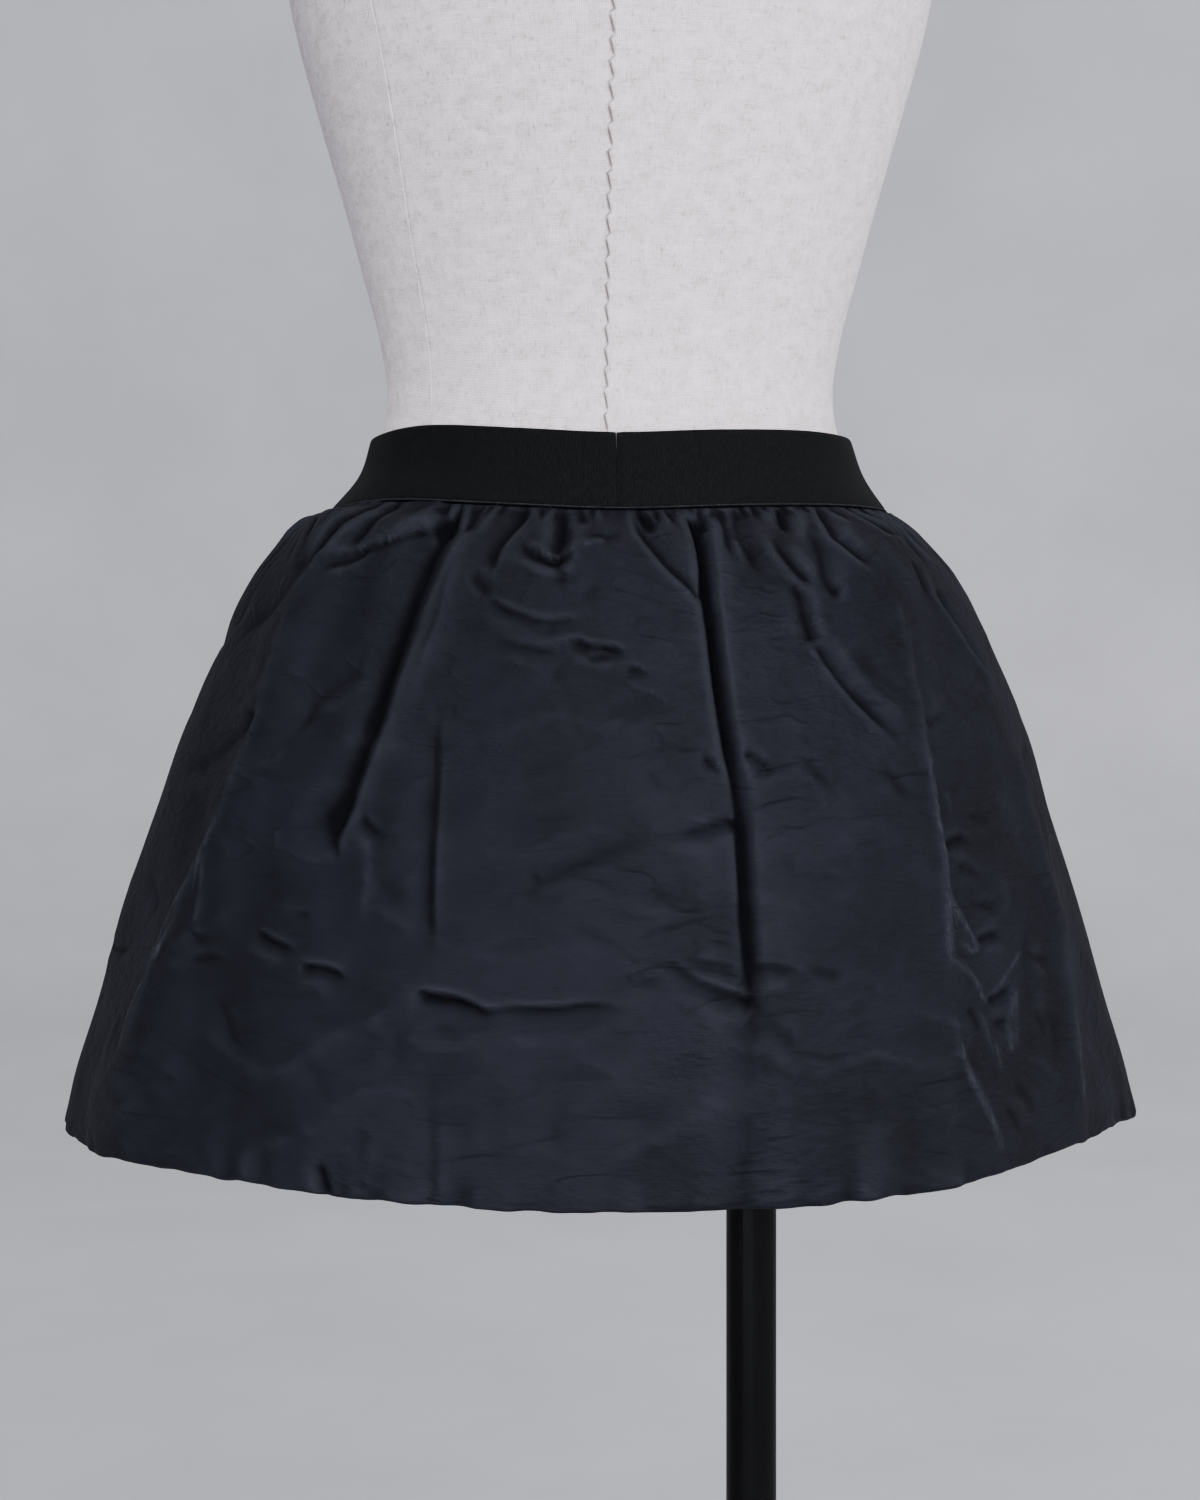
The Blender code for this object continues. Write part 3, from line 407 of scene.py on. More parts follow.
    (-0.6, -1.8), (4, 1.6), (1.5, 1.1), 0, (0.3, 0.05)),
    ((41.9, 125, 41.6, 140.2, 41.4, 153.4, 41.1, 166.2, 40.1, 179.4, 39.4, 196.9, 38.4, 211.3,
    38.1, 223.3), (-1.9, -1.7), (3, 1.5), (1.4, 1.1), 0, (0.05, 0.3)),
    ((40.1, 178.2, 40.9, 185, 41.8, 192.2, 43.2, 205.3), (-1.8, -1.8), (2, 1.6), (1.3, 1.2), 0,
    (0.1, 0.2)),
    ((38.8, 208.5, 40, 214.5, 41.5, 220.1, 43.6, 228.1), (-1.8, -1.6), (2, 1.6), (1.3, 1.2), 0,
    (0.1, 0.2)),
    ((38.4, 221.3, 37.8, 247.7, 38.6, 260.9, 39.6, 272.8, 41.9, 300.4), (-1, -1.4), (3, 1.8),
    (1.4, 1.2), 0, (0.3, 0.2)),
    ((41.8, 234.1, 42.5, 248.5, 43.2, 263.7), (-1.2, -1), (2, 1.6), (1.3, 1.2), 0, (0.2, 0.4)),
    ((49, 226.1, 48.4, 242.5, 45.4, 265.7), (-1.6, -1.2), (2.4, 1.8), (1.3, 1.2), 0, (0.2, 0.4)),
    ((43, 101.5, 45.1, 101.9, 49.9, 97.1), (1.6, 1.2), (2.6, 1.4), (1.3, 1.2), 0.2, (0.1, 0.4)),
    ((42.4, 137.8, 44.4, 136.6, 44.6, 141.4, 43.6, 146.6), (-1.2, -1), (1.6, 1.6), (1.3, 1.3), 0,
    (0.2, 0.3)),
    ((41.8, 159, 43.6, 157.4, 45.9, 156.6, 47.5, 158.6), (2.2, 1.8), (2.6, 1.6), *NIP),
    ((47.2, 145.4, 51, 147.8, 53, 150.6), (1.3, 1.1), (2.6, 1.5), *PUCKER),
    ((43, 168.6, 45.8, 171, 48.8, 177), (1.5, 1.3), (2.8, 1.6), *PUCKER),
    ((44, 203.7, 46.9, 202.1, 50.1, 202.5), (2.2, 1.6), (2.8, 1.5), *NIP),
    ((43.6, 184.6, 47.5, 188.6, 51, 187.8), (1.5, 1.2), (2.8, 1.6), *PUCKER),
    ((43.9, 230.5, 46, 230.9, 49.1, 226.5), (2.4, 1.8), (2.8, 1.5), (1.3, 1.2), 0.3, (0.1, 0.3)),
    ((43.5, 244.5, 45.8, 242.9, 48.2, 244.9), (1.6, 1.3), (2.8, 1.6), *PUCKER),
    ((39.8, 232.5, 41, 238.5, 41.6, 248.1), (1.4, 1.1), (2.4, 2), *PLAIN),
    ((45.1, 272.8, 46.8, 278.8, 48.1, 290), (1.3, 1.1), (2.4, 2.6), *PLAIN),
    ((42.8, 281.6, 44.2, 288, 45.1, 298), (1.3, 1.1), (2.4, 2.6), (1.4, 1.4), 0.1, (0.3, 0.3)),
    ((53.2, 211.7, 56.1, 217.7, 59.9, 219.3), (1.2, 1), (2.6, 2), *PLAIN),
    ((52.1, 239.7, 53.4, 249.7, 52.2, 263.3), (1.2, 1), (3.2, 3), (1.5, 1.5), 0.1),
    # Soft hollows and swellings that the wadding makes
    ((-6.1, 116.3, -1.4, 108.3, 4.6, 111.1, 9.4, 116.3), (0.8, 0.9), (7, 5), *ROUND),
    ((-16.6, 134.6, -10.4, 143.8, -4.8, 140.6), (0.7, 0.7), (6, 5), *FAINT),
    ((3.1, 168.6, 6.5, 177.4, 11.8, 179.8), (0.9, 0.9), (5, 4), (1.5, 1.5), 0, (0.35, 0.3)),
    ((18, 156.6, 21.4, 166.6, 27.5, 171), (0.9, 0.9), (6, 5), *ROUND),
    ((23.6, 170.6, 29.5, 162.6, 34.6, 167.4), (0.8, 0.8), (6, 5), *ROUND),
    ((23.6, 62.7, 23.9, 85.5, 28.5, 99.5), (0.9, 0.8), (6, 6), *ROUND),
    ((25.2, 192.6, 28.4, 206.9, 34.9, 213.3), (0.9, 0.8), (6, 5), *ROUND),
    ((-43, 92.3, -39.4, 100.7, -34.6, 97.9), (1, 0.9), (5, 4), *HOLLOW),
    ((-44.9, 138.6, -40.1, 149, -35.8, 149.8), (1, 0.9), (6, 4), *HOLLOW),
    ((-46, 175.4, -41.9, 181, -36.5, 177), (0.9, 0.8), (5, 4), *HOLLOW),
    ((-24, 227.3, -21.6, 242.1, -21.8, 256.9), (1, 0.9), (6, 5), *SWELL),
    ((-32.6, 246.9, -29.4, 261.7, -27.9, 276), (1, 0.9), (6, 5), *SWELL),
    ((-9, 246.1, -5, 251.3, -0.1, 247.7), (0.9, 0.8), (6, 5), *SWELL),
    ((2.8, 241.7, 5.5, 251.3, 9.8, 249.7), (0.9, 0.8), (6, 5), *SWELL),
    ((16.4, 268.9, 19.8, 264.5, 23.9, 272.1), (0.9, 0.8), (6, 5), *SWELL),
    ((-70.6, 177.4, -62.8, 189.4, -63.1, 203.7), (1.2, 1), (5, 4), (1.5, 1.4), 0, (0.35, 0.35)),
    ((52.9, 173.4, 53.9, 187.8, 50.4, 200.9), (1, 0.9), (4, 5), *HOLLOW),
    ((54.9, 236.1, 55.5, 255.7, 52.1, 272.8), (1, 0.9), (4, 5), *HOLLOW),
    ((-1.1, 271.3, 2.6, 268.1, 7.4, 273.2), (0.8, 0.8), (5, 5), *SWELL),
    ((-18.5, 269.3, -15.2, 273.6, -13.2, 285.2), (0.8, 0.8), (5, 5), *SWELL),
    # Ridges near the right edge
    ((60.6, 28.4, 59.9, 34, 58.8, 45.1, 61.3, 56.7, 63.4, 70.3, 66.2, 82.7, 63.9, 92.7, 62, 101.5),
    (-1.6, -1.4), (3.4, 1.6), (1.4, 1.1), 0, (0.2, 0.3)),
    ((61.4, 38.4, 61.8, 45.1, 63.1, 59.1, 65.8, 73.1, 69, 81.9), (2.6, 1.6), (1.8, 4.5), (1.3, 1.5),
    0, (0.2, 0.4)),
    ((74, 156.2, 69.4, 169, 64.5, 186.2), (-1.3, -1.1), (2.6, 2), (1.4, 1.3)),
    ((70.9, 189.4, 64.6, 206.9, 62.2, 219.7, 60.9, 242.5, 59, 264.9, 56.9, 296.4), (-1.6, -1.6),
    (3, 2.2), (1.4, 1.2), 0, (0.25, 0.25)),
    ((60.1, 180.6, 53.8, 211.7, 51.8, 234.5, 49.8, 271.3), (1.4, 1.2), (6, 6), (1.7, 1.7), 0,
    (0.35, 0.35)),
    ((92.5, 96.3, 71.6, 124.2, 66.4, 153), (1.2, 1.2), (6, 6), (1.7, 1.7), 0, (0.35, 0.35)),
))

# Pressed and rubbed edges, painted as highlights, along the side ridges, then similar ones at the
# front
PRESSED_EDGES = tuple(PressedEdge(paired(row[0]), *row[1:]) for row in (
    ((-52.9, 14, -51.1, 28.8, -50.1, 52.3, -50, 69.1, -49, 88.3, -48.6, 106.7, -49.2, 121,
    -50.8, 141.4, -52.1, 155.8), 0.35, 0.9),
    ((-50.4, 140.2, -52.1, 155.8, -53.9, 176.2, -56.2, 192.2, -56.9, 208.1, -57.5, 226.1), 1, 1.3),
    ((-52.1, 163.8, -51.2, 177, -50.6, 187.4, -50.3, 198.1), 0.6, 1),
    ((-53.8, 186.2, -55.9, 213.3, -58.5, 234.5, -58.9, 250.5, -58.1, 265.7), 0.9, 1.2),
    ((-57.5, 207.3, -61.1, 230.9, -64.1, 252.5, -65.2, 271.7, -65.6, 289.6), 0.6, 1),
    ((48, 47.1, 44.2, 76.3, 43.1, 94.3, 42.8, 107.5, 42.1, 123), 0.35, 0.8),
    ((42.8, 107.5, 42.1, 123, 41.5, 143, 41.1, 162.6, 40.2, 179.8, 38.9, 201.3, 38.4, 214.1), 1,
    1.3),
    ((40.1, 177.8, 40.6, 186.6, 41.8, 194.5, 43.5, 204.1, 42.8, 208.1, 39.9, 200.5), 0.9, 1),
    ((39.9, 208.1, 41.5, 219.7, 43.4, 230.5, 46.5, 225.3, 50, 216.9, 53, 210.5), 0.8, 0.9),
    ((49.9, 228.1, 47, 242.5, 46, 259.7), 0.8, 1.4),
    ((43.4, 249.3, 43.8, 257.3, 43.6, 264.9), 0.6, 1.2),
    ((37.8, 244.1, 38.1, 257.3, 39.1, 273.2, 40.5, 286.8, 41.6, 304), 0.8, 1.2),
    ((61.3, 34.4, 61.4, 53.1, 64, 70.7, 65.6, 80.3), 0.5, 0.9),
    ((77.4, 158.6, 67.6, 175.4, 67.8, 196.5, 65, 212.1), 0.5, 1.4),
    ((61, 238.5, 59.4, 258.5, 58, 278.4, 57.1, 296.4), 0.8, 1.3),
    ((127, 52, 128, 96, 129, 141, 127, 176), 0.7, 1.1),
    ((129, 168, 126.5, 214, 125, 262, 123, 297), 0.8, 1.3),
    ((236, 74, 238.5, 127, 239, 171), 0.8, 1.2),
    ((238, 165, 240.5, 212, 242, 251, 243, 288), 0.6, 1.4),
    ((104, 208, 101.5, 249, 102, 281), 0.6, 1.2),
))


class Panel(Enum):
    """The skirt's two panels, each with the angles of its side seams in degrees."""

    BACK = (-90.0, 90.0)
    FRONT = (90.0, 270.0)

    @property
    def node(self) -> str:
        """The CAD node that the panel's cloth stands for."""
        return f"{self.name.lower()}_panel"


def eased(t: np.ndarray | float) -> np.ndarray:
    """Eases from 0 to 1, flat at both ends.

    Args:
        t: Progress, held between 0 and 1.

    Returns:
        The eased progress.
    """
    t = np.clip(t, 0.0, 1.0)
    return t * t * (3 - 2 * t)


def smooth_table(places: Sequence[float], values: Sequence[float], at: np.ndarray) -> np.ndarray:
    """Reads a table at any place, on a smooth curve through its rows.

    Args:
        places: The rows' places, rising.
        values: The rows' values.
        at: Where to read.

    Returns:
        One value for each place asked for.
    """
    places, values = np.asarray(places, float), np.asarray(values, float)
    at = np.clip(np.asarray(at, float), places[0], places[-1])
    slopes = np.gradient(values, places)
    row = np.clip(np.searchsorted(places, at, side="right") - 1, 0, len(places) - 2)
    step = places[row + 1] - places[row]
    t = (at - places[row]) / step
    ends = (2 * t**3 - 3 * t**2 + 1) * values[row] + (3 * t**2 - 2 * t**3) * values[row + 1]
    bends = (t**3 - 2 * t**2 + t) * slopes[row] + (t**3 - t**2) * slopes[row + 1]
    return ends + bends * step


def held_share(amount: np.ndarray, start: float, full: float, most: float) -> np.ndarray:
    """The share of a range that amounts reach past its start, held between 0 and the most."""
    return np.clip((amount - start) / full, 0, most)


def waves(table: Sequence[Wave], angle: np.ndarray) -> np.ndarray:
    """The rise that a table of slow waves gives.

    Args:
        table: The waves.
        angle: Angles in radians.

    Returns:
        A rise in metres for each angle.
    """
    total = np.zeros_like(angle)
    for wave in table:
        apart = (np.degrees(angle) - wave.angle + 180) % 360 - 180
        total = total + wave.rise * np.exp(-((apart / wave.spread) ** 2))
    return total


@dataclass(frozen=True)
class ClothNoise:
    """Seeded smooth noise for the small unevenness that no table of creases lists."""

    seed: int

    def smooth(self, u: np.ndarray, v: np.ndarray) -> np.ndarray:
        """Noise between about -1 and 1 that changes once in a unit.

        Args:
            u: First coordinate.
            v: Second coordinate.

        Returns:
            The noise at each point.
        """
        lattice = np.random.default_rng(self.seed).uniform(-1, 1, (128, 128))
        i, j = np.floor(u).astype(int), np.floor(v).astype(int)
        fu, fv = u - i, v - j
        fu, fv = (f * f * f * (f * (f * 6 - 15) + 10) for f in (fu, fv))
        near = lattice[i % 128, j % 128] * (1 - fu) + lattice[(i + 1) % 128, j % 128] * fu
        far = lattice[i % 128, (j + 1) % 128] * (1 - fu)
        far += lattice[(i + 1) % 128, (j + 1) % 128] * fu
        return near * (1 - fv) + far * fv

    def crumple(self, u: np.ndarray, v: np.ndarray, octaves: int = 3) -> np.ndarray:
        """Noise with round tops and sharp valleys, as crumpled cloth has.

        Args:
            u: First coordinate.
            v: Second coordinate.
            octaves: How many finer layers are added.

        Returns:
            The noise, about -1 in valleys and 0.6 on tops.
        """
        total, size = np.zeros_like(u), 1.0
        for k in range(octaves):
            turn = 0.9 + 1.3 * k
            ru = (u * math.cos(turn) - v * math.sin(turn)) * 1.9**k
            rv = (u * math.sin(turn) + v * math.cos(turn)) * 1.9**k
            layer = np.abs(ClothNoise(self.seed + 7 * k).smooth(ru, rv + 3.7))
            total = total + size * (layer**0.7 * 1.6 - 1)
            size *= 0.5
        return total


@dataclass(frozen=True)
class SkirtForm:
    """The skirt's shape before and after its large folds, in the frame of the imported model."""

    sections: tuple[SkirtSection, ...] = SKIRT_SECTIONS
    folds: tuple[Fold, ...] = FOLDS

    def _column(self, name: str, drop: np.ndarray) -> np.ndarray:
        """One column of the sections at some drops."""
        drops = [s.drop for s in self.sections]
        return smooth_table(drops, [getattr(s, name) for s in self.sections], drop)

    def radius(self, drop: np.ndarray) -> np.ndarray:
        """The mean half size at some drops, which turns an angle into a length."""
        return sum(self._column(name, drop) for name in ("left", "right", "back", "front")) / 4

    def point(self, angle: np.ndarray, drop: np.ndarray) -> np.ndarray:
        """Points of the unfolded surface.

        Args:
            angle: Angles in radians.
            drop: Drops in metres.

        Returns:
            Points, with their coordinates last.
        """
        left, right, back, front, lens = (
            self._column(name, drop) for name in ("left", "right", "back", "front", "lens")
        )
        sine, cosine = np.sin(angle), np.cos(angle)
        x = ((right + left) / 2 + (right - left) / 2 * sine) * sine
        depth = (back + front) / 2 + (back - front) / 2 * cosine
        y = -depth * np.sign(cosine) * np.abs(cosine) ** (1 + lens * eased(sine))
        rise = waves(WAIST_WAVES, angle) * np.exp(-((drop / 0.060) ** 2))
        rise = rise + waves(HEM_WAVES, angle) * eased((drop - 0.200) / (HEM_DROP - 0.200))
        return np.stack([x, y, WAIST_SEAM_Z - drop + rise], axis=-1)

    def normal(self, angle: np.ndarray, drop: np.ndarray) -> np.ndarray:
        """Outward normals of the unfolded surface, level at the waist seam.

        Args:
            angle: Angles in radians.
            drop: Drops in metres.

        Returns:
            Unit vectors, with their coordinates last.
        """
        turn, fall = 1e-3, 5e-4
        across = self.point(angle + turn, drop) - self.point(angle - turn, drop)
        low, high = np.minimum(drop + fall, HEM_DROP), np.maximum(drop - fall, 0)
        normal = np.cross(self.point(angle, low) - self.point(angle, high), across)
        normal /= np.linalg.norm(normal, axis=-1, keepdims=True)
        normal[..., 2] *= eased(drop / 0.010)
        return normal / np.linalg.norm(normal, axis=-1, keepdims=True)

    def nearest(
        self, path: Sequence[tuple[float, float]], angle: np.ndarray, drop: np.ndarray, steps: int
    ) -> tuple[np.ndarray, np.ndarray, np.ndarray]:
        """Measures points of the cloth, laid flat, against a smooth line.

        Args:
            path: The line's (degrees, metres) points.
            angle: Angles in radians.
            drop: Drops in metres.
            steps: How many points the smooth line is cut into.

        Returns:
            The distance in metres, the side (1 towards larger angles) and the share along it.
        """
        knots, at = np.linspace(0, 1, len(path)), np.linspace(0, 1, steps)
        angles = smooth_table(knots, [math.radians(p[0]) for p in path], at)
        drops = smooth_table(knots, [p[1] for p in path], at)
        radius = self.radius(drop)
        gap, side, along = (np.full(radius.shape, v) for v in (np.inf, 1.0, 0.0))
        for k in range(steps - 1):
            apart = (angle - angles[k] + math.pi) % (2 * math.pi) - math.pi
            px, py = apart * radius, drop - drops[k]
            sx, sy = (angles[k + 1] - angles[k]) * radius, drops[k + 1] - drops[k]
            share = np.clip((px * sx + py * sy) / (sx * sx + sy * sy), 0, 1)
            here = np.hypot(px - share * sx, py - share * sy)
            closer = here < gap
            gap = np.where(closer, here, gap)
            side = np.where(closer, np.where(px * sy - py * sx >= 0, 1.0, -1.0), side)
            along = np.where(closer, (k + share) / (steps - 1), along)
        return gap, side, along

    def fold_push(self, angle: np.ndarray, drop: np.ndarray) -> np.ndarray:
        """How far the large folds push the surface inwards.

        Args:
            angle: Angles in radians.
            drop: Drops in metres.

        Returns:
            A push in metres for each point.
        """
        total = np.zeros_like(drop)
        for fold in self.folds:
            gap, _, along = self.nearest(fold.path, angle, drop, 14)
            depth = fold.top_depth + (fold.low_depth - fold.top_depth) * along
            width = fold.top_width + (fold.low_width - fold.top_width) * along
            total += depth * np.exp(-((gap / width) ** 2))
        return total * eased(drop / 0.012)

    def crease_push(
        self, creases: Sequence[Crease], angle: np.ndarray, drop: np.ndarray
    ) -> np.ndarray:
        """How far fine creases push the surface inwards.

        Args:
            creases: The creases.
            angle: Angles in radians.
            drop: Drops in metres.

        Returns:
            A push in metres for each point.
        """
        total = np.zeros_like(drop)
        for crease in creases:
            path = [(a, d * MM) for a, d in crease.path]
            low_reach = crease.low_reach or crease.reach
            far = max(*crease.reach, *low_reach) * MM * 3
            low, high = (math.radians(f(p[0] for p in path)) for f in (min, max))
            apart = np.abs((angle - (low + high) / 2 + math.pi) % (2 * math.pi) - math.pi)
            close = apart < (high - low) / 2 + far / 0.12
            close &= drop > min(p[1] for p in path) - far
            close &= drop < max(p[1] for p in path) + far
            if not close.any():
                continue
            gap, side, along = self.nearest(path, angle[close], drop[close], 4 * len(path))
            height = np.zeros_like(gap)
            for here, k in ((side < 0, 0), (side > 0, 1)):
                width = (crease.reach[k] + (low_reach[k] - crease.reach[k]) * along) * MM
                if crease.form[k] == 0:
                    slope = np.clip(1 - gap / width, 0, 1) ** 1.1
                else:
                    slope = np.exp(-((gap / width) ** crease.form[k]))
                slope -= crease.shoulder * np.exp(-(((gap - 2.3 * width) / (1.1 * width)) ** 2))
                height = np.where(here, slope, height)
            depth = crease.depths[0] + (crease.depths[1] - crease.depths[0]) * along
            if crease.fades[0] > 0:
                depth = depth * (0.06 + 0.94 * eased(along / crease.fades[0]))
            if crease.fades[1] > 0:
                depth = depth * (0.06 + 0.94 * eased((1 - along) / crease.fades[1]))
            total[close] += depth * MM * height
        return total * (0.45 + 0.55 * eased(drop / 0.004))


def deselect_all() -> None:
    """Leaves nothing selected, so that an operator acts on the new piece alone."""
    if bpy.context.object is not None and bpy.context.object.mode != "OBJECT":
        bpy.ops.object.mode_set(mode="OBJECT")
    bpy.ops.object.select_all(action="DESELECT")


def make_active(piece: bpy.types.Object) -> None:
    """Selects one piece alone and makes it active.

    Args:
        piece: The piece.
    """
    deselect_all()
    piece.select_set(True)
    bpy.context.view_layer.objects.active = piece


def woven_sheet(name: str, points: np.ndarray, metres: np.ndarray) -> bpy.types.Object:
    """Adds a grid and moves its vertices to a sheet's points.

    Args:
        name: The piece's name.
        points: Places, as rows by columns by three.
        metres: The cloth's own flat coordinates, as rows by columns by two.

    Returns:
        The sheet, with a UV map in metres.
    """
    deselect_all()
    rows, columns = points.shape[:2]
    bpy.ops.mesh.primitive_grid_add(x_subdivisions=columns - 1, y_subdivisions=rows - 1, size=1.0)
    sheet = bpy.context.object
    sheet.name = sheet.data.name = name
    mesh = sheet.data
    flat = np.empty(len(mesh.vertices) * 3)
    mesh.vertices.foreach_get("co", flat)
    flat = flat.reshape(-1, 3)
    column = np.rint((flat[:, 0] + 0.5) * (columns - 1)).astype(int)
    row = np.rint((flat[:, 1] + 0.5) * (rows - 1)).astype(int)
    mesh.vertices.foreach_set("co", points[row, column].astype(np.float32).ravel())
    corners = np.empty(len(mesh.loops), dtype=np.int32)
    mesh.loops.foreach_get("vertex_index", corners)
    mesh.uv_layers[0].data.foreach_set("uv", metres[row, column][corners].astype(np.float32).ravel())
    mesh.uv_layers[0].name = "metres"
    mesh.update()
    return sheet


def close_shell(piece: bpy.types.Object, merge: float = 2e-5, smooth_angle: float = 60.0) -> None:
    """Welds a sheet's meeting edges, fills what stays open and turns its faces outwards.

    Args:
        piece: The sheet.
        merge: How near vertices are to be welded, in metres.
        smooth_angle: The sharpest angle that still shades smoothly, in degrees.
    """
    make_active(piece)
    bpy.ops.object.mode_set(mode="EDIT")
    bpy.ops.mesh.select_all(action="SELECT")
    bpy.ops.mesh.remove_doubles(threshold=merge)
    bpy.ops.mesh.select_all(action="DESELECT")
    bpy.ops.mesh.select_mode(type="EDGE")
    bpy.ops.mesh.select_non_manifold(
        extend=False,
        use_wire=False,
        use_boundary=True,
        use_multi_face=False,
        use_non_contiguous=False,
        use_verts=False,
    )
    bpy.ops.mesh.edge_face_add()
    bpy.ops.mesh.select_all(action="SELECT")
    bpy.ops.mesh.normals_make_consistent(inside=False)
    bpy.ops.object.mode_set(mode="OBJECT")
    bpy.ops.object.shade_smooth_by_angle(angle=math.radians(smooth_angle))


class FinishNodes:
    """A short way to lay out one material's nodes."""

    def __init__(self, name: str) -> None:
        """Makes the material and keeps its shader.

        Args:
            name: The material's name.
        """
        self.material = bpy.data.materials.new(name)
        self.material.use_nodes = True
        self.tree = self.material.node_tree
        self.shader = self.tree.nodes["Principled BSDF"]

    def node(self, kind: str, links: dict | None = None, **settings: object) -> bpy.types.Node:
        """Adds a node.

        Args:
            kind: The node's type without its ShaderNode prefix.
            links: Input name or number to an output socket, a node or a plain value.
            settings: Attributes to set on the node first.

        Returns:
            The node.
        """
        made = self.tree.nodes.new(f"ShaderNode{kind}")
        for key, value in settings.items():
            setattr(made, key, value)
        for key, value in (links or {}).items():
            self.feed(made.inputs[key], value)
        return made

    def feed(self, socket: bpy.types.NodeSocket, value: object) -> None:
        """Links an output or a node's first output to a socket, or sets a plain value on it."""
        if isinstance(value, bpy.types.Node):
            value = value.outputs[0]
        if isinstance(value, bpy.types.NodeSocket):
            self.tree.links.new(value, socket)
        else:
            socket.default_value = value

    def metres(self, across: float, down: float) -> bpy.types.Node:
        """The cloth's UV coordinates, counted in units of the two sizes given in metres."""
        uv = self.node("UVMap", uv_map="metres")
        return self.node("Mapping", {"Vector": uv, "Scale": (1 / across, 1 / down, 1.0)})

    def blocks(self, size: float) -> bpy.types.Node:
        """The object's own coordinates, counted in units of a size in metres."""
        place = self.node("TexCoord").outputs["Object"]
        return self.node("Mapping", {"Vector": place, "Scale": (1 / size,) * 3})

    def maths(
        self, operation: str, first: object, second: object = 0.0, clamp: bool = False
    ) -> bpy.types.Node:
        """One sum of two values or sockets."""
        return self.node("Math", {0: first, 1: second}, operation=operation, use_clamp=clamp)

    def plus(self, first: object, second: object) -> bpy.types.Node:
        """Two values added."""
        return self.maths("ADD", first, second)

    def times(self, first: object, second: object) -> bpy.types.Node:
        """Two values multiplied."""
        return self.maths("MULTIPLY", first, second)

    def away(self, value: object, middle: float) -> bpy.types.Node:
        """How far a value is from a middle one, either way."""
        return self.maths("ABSOLUTE", self.maths("SUBTRACT", value, middle))

    def noise(
        self, vector: object, detail: float = 2.0, roughness: float = 0.5
    ) -> bpy.types.NodeSocket:
        """Noise between 0 and 1 on some coordinates."""
        inputs = {"Vector": vector, "Scale": 1.0, "Detail": detail, "Roughness": roughness}
        return self.node("TexNoise", inputs).outputs["Fac"]

    def threads(
        self, vector: object, direction: str, wander: float, size: float = 1.0, pitch: float = 1.0
    ) -> bpy.types.Node:
        """Threads side by side, one to a unit.

        Args:
            vector: The coordinates they are laid on.
            direction: The axis they are counted along.
            wander: How far they stray.
            size: The size of their straying.
            pitch: How many there are in a unit.

        Returns:
            The node, high in a thread's middle.
        """
        inputs = {"Vector": vector, "Scale": pitch / math.pi, "Distortion": wander, "Detail": 1.0}
        inputs["Detail Scale"] = size
        return self.node("TexWave", inputs, bands_direction=direction)

    def mark(self, name: str) -> bpy.types.NodeSocket:
        """A mark that is stored on the piece's points."""
        return self.node("Attribute", attribute_name=name).outputs["Fac"]

    def laid_over(
        self, colour: object, share: object, over: tuple[float, float, float]
    ) -> bpy.types.NodeSocket:
        """A colour with a share of another one over it."""
        inputs = {"Factor": share, 6: colour, 7: (*over, 1.0)}
        return self.node("Mix", inputs, data_type="RGBA").outputs[2]

    def ramp(self, value: object, *stops: tuple[float, tuple[float, ...]]) -> bpy.types.NodeSocket:
        """A colour ramp.

        Args:
            value: Where the ramp is read.
            stops: Its stops as (place, colour).

        Returns:
            The colour.
        """
        made = self.node("ValToRGB", {"Fac": value})
        while len(made.color_ramp.elements) < len(stops):
            made.color_ramp.elements.new(0.5)
        for element, (place, colour) in zip(made.color_ramp.elements, stops):
            element.position = place
            element.color = (*colour, 1.0) if len(colour) == 3 else colour
        return made.outputs["Color"]

    def range(
        self, value: object, low: float, high: float, start: float = 0.0, end: float = 1.0
    ) -> bpy.types.NodeSocket:
        """Maps a value from one range to another, held at its ends.

        Args:
            value: The value.
            low: The result at the range's start.
            high: The result at its end.
            start: Where the range starts.
            end: Where it ends.

        Returns:
            The result.
        """
        made = self.node("MapRange", {"Value": value, "From Min": start, "From Max": end})
        self.feed(made.inputs["To Min"], low)
        self.feed(made.inputs["To Max"], high)
        return made.outputs["Result"]

    def bump(
        self, height: object, distance: float, strength: float = 1.0, under: object = None
    ) -> bpy.types.Node:
        """Relief from a height.

        Args:
            height: The height, from 0 to 1.
            distance: What a height of 1 is in metres.
            strength: How much of the relief shows.
            under: Other relief that it lies on.

        Returns:
            The relief.
        """
        made = self.node("Bump", {"Height": height, "Distance": distance, "Strength": strength})
        if under is not None:
            self.feed(made.inputs["Normal"], under)
        return made

    def surface(self, **inputs: object) -> bpy.types.Material:
        """Feeds the shader's sockets, underscores for spaces, and returns the material."""
        for key, value in inputs.items():
            self.feed(self.shader.inputs[key.replace("_", " ")], value)
        return self.material


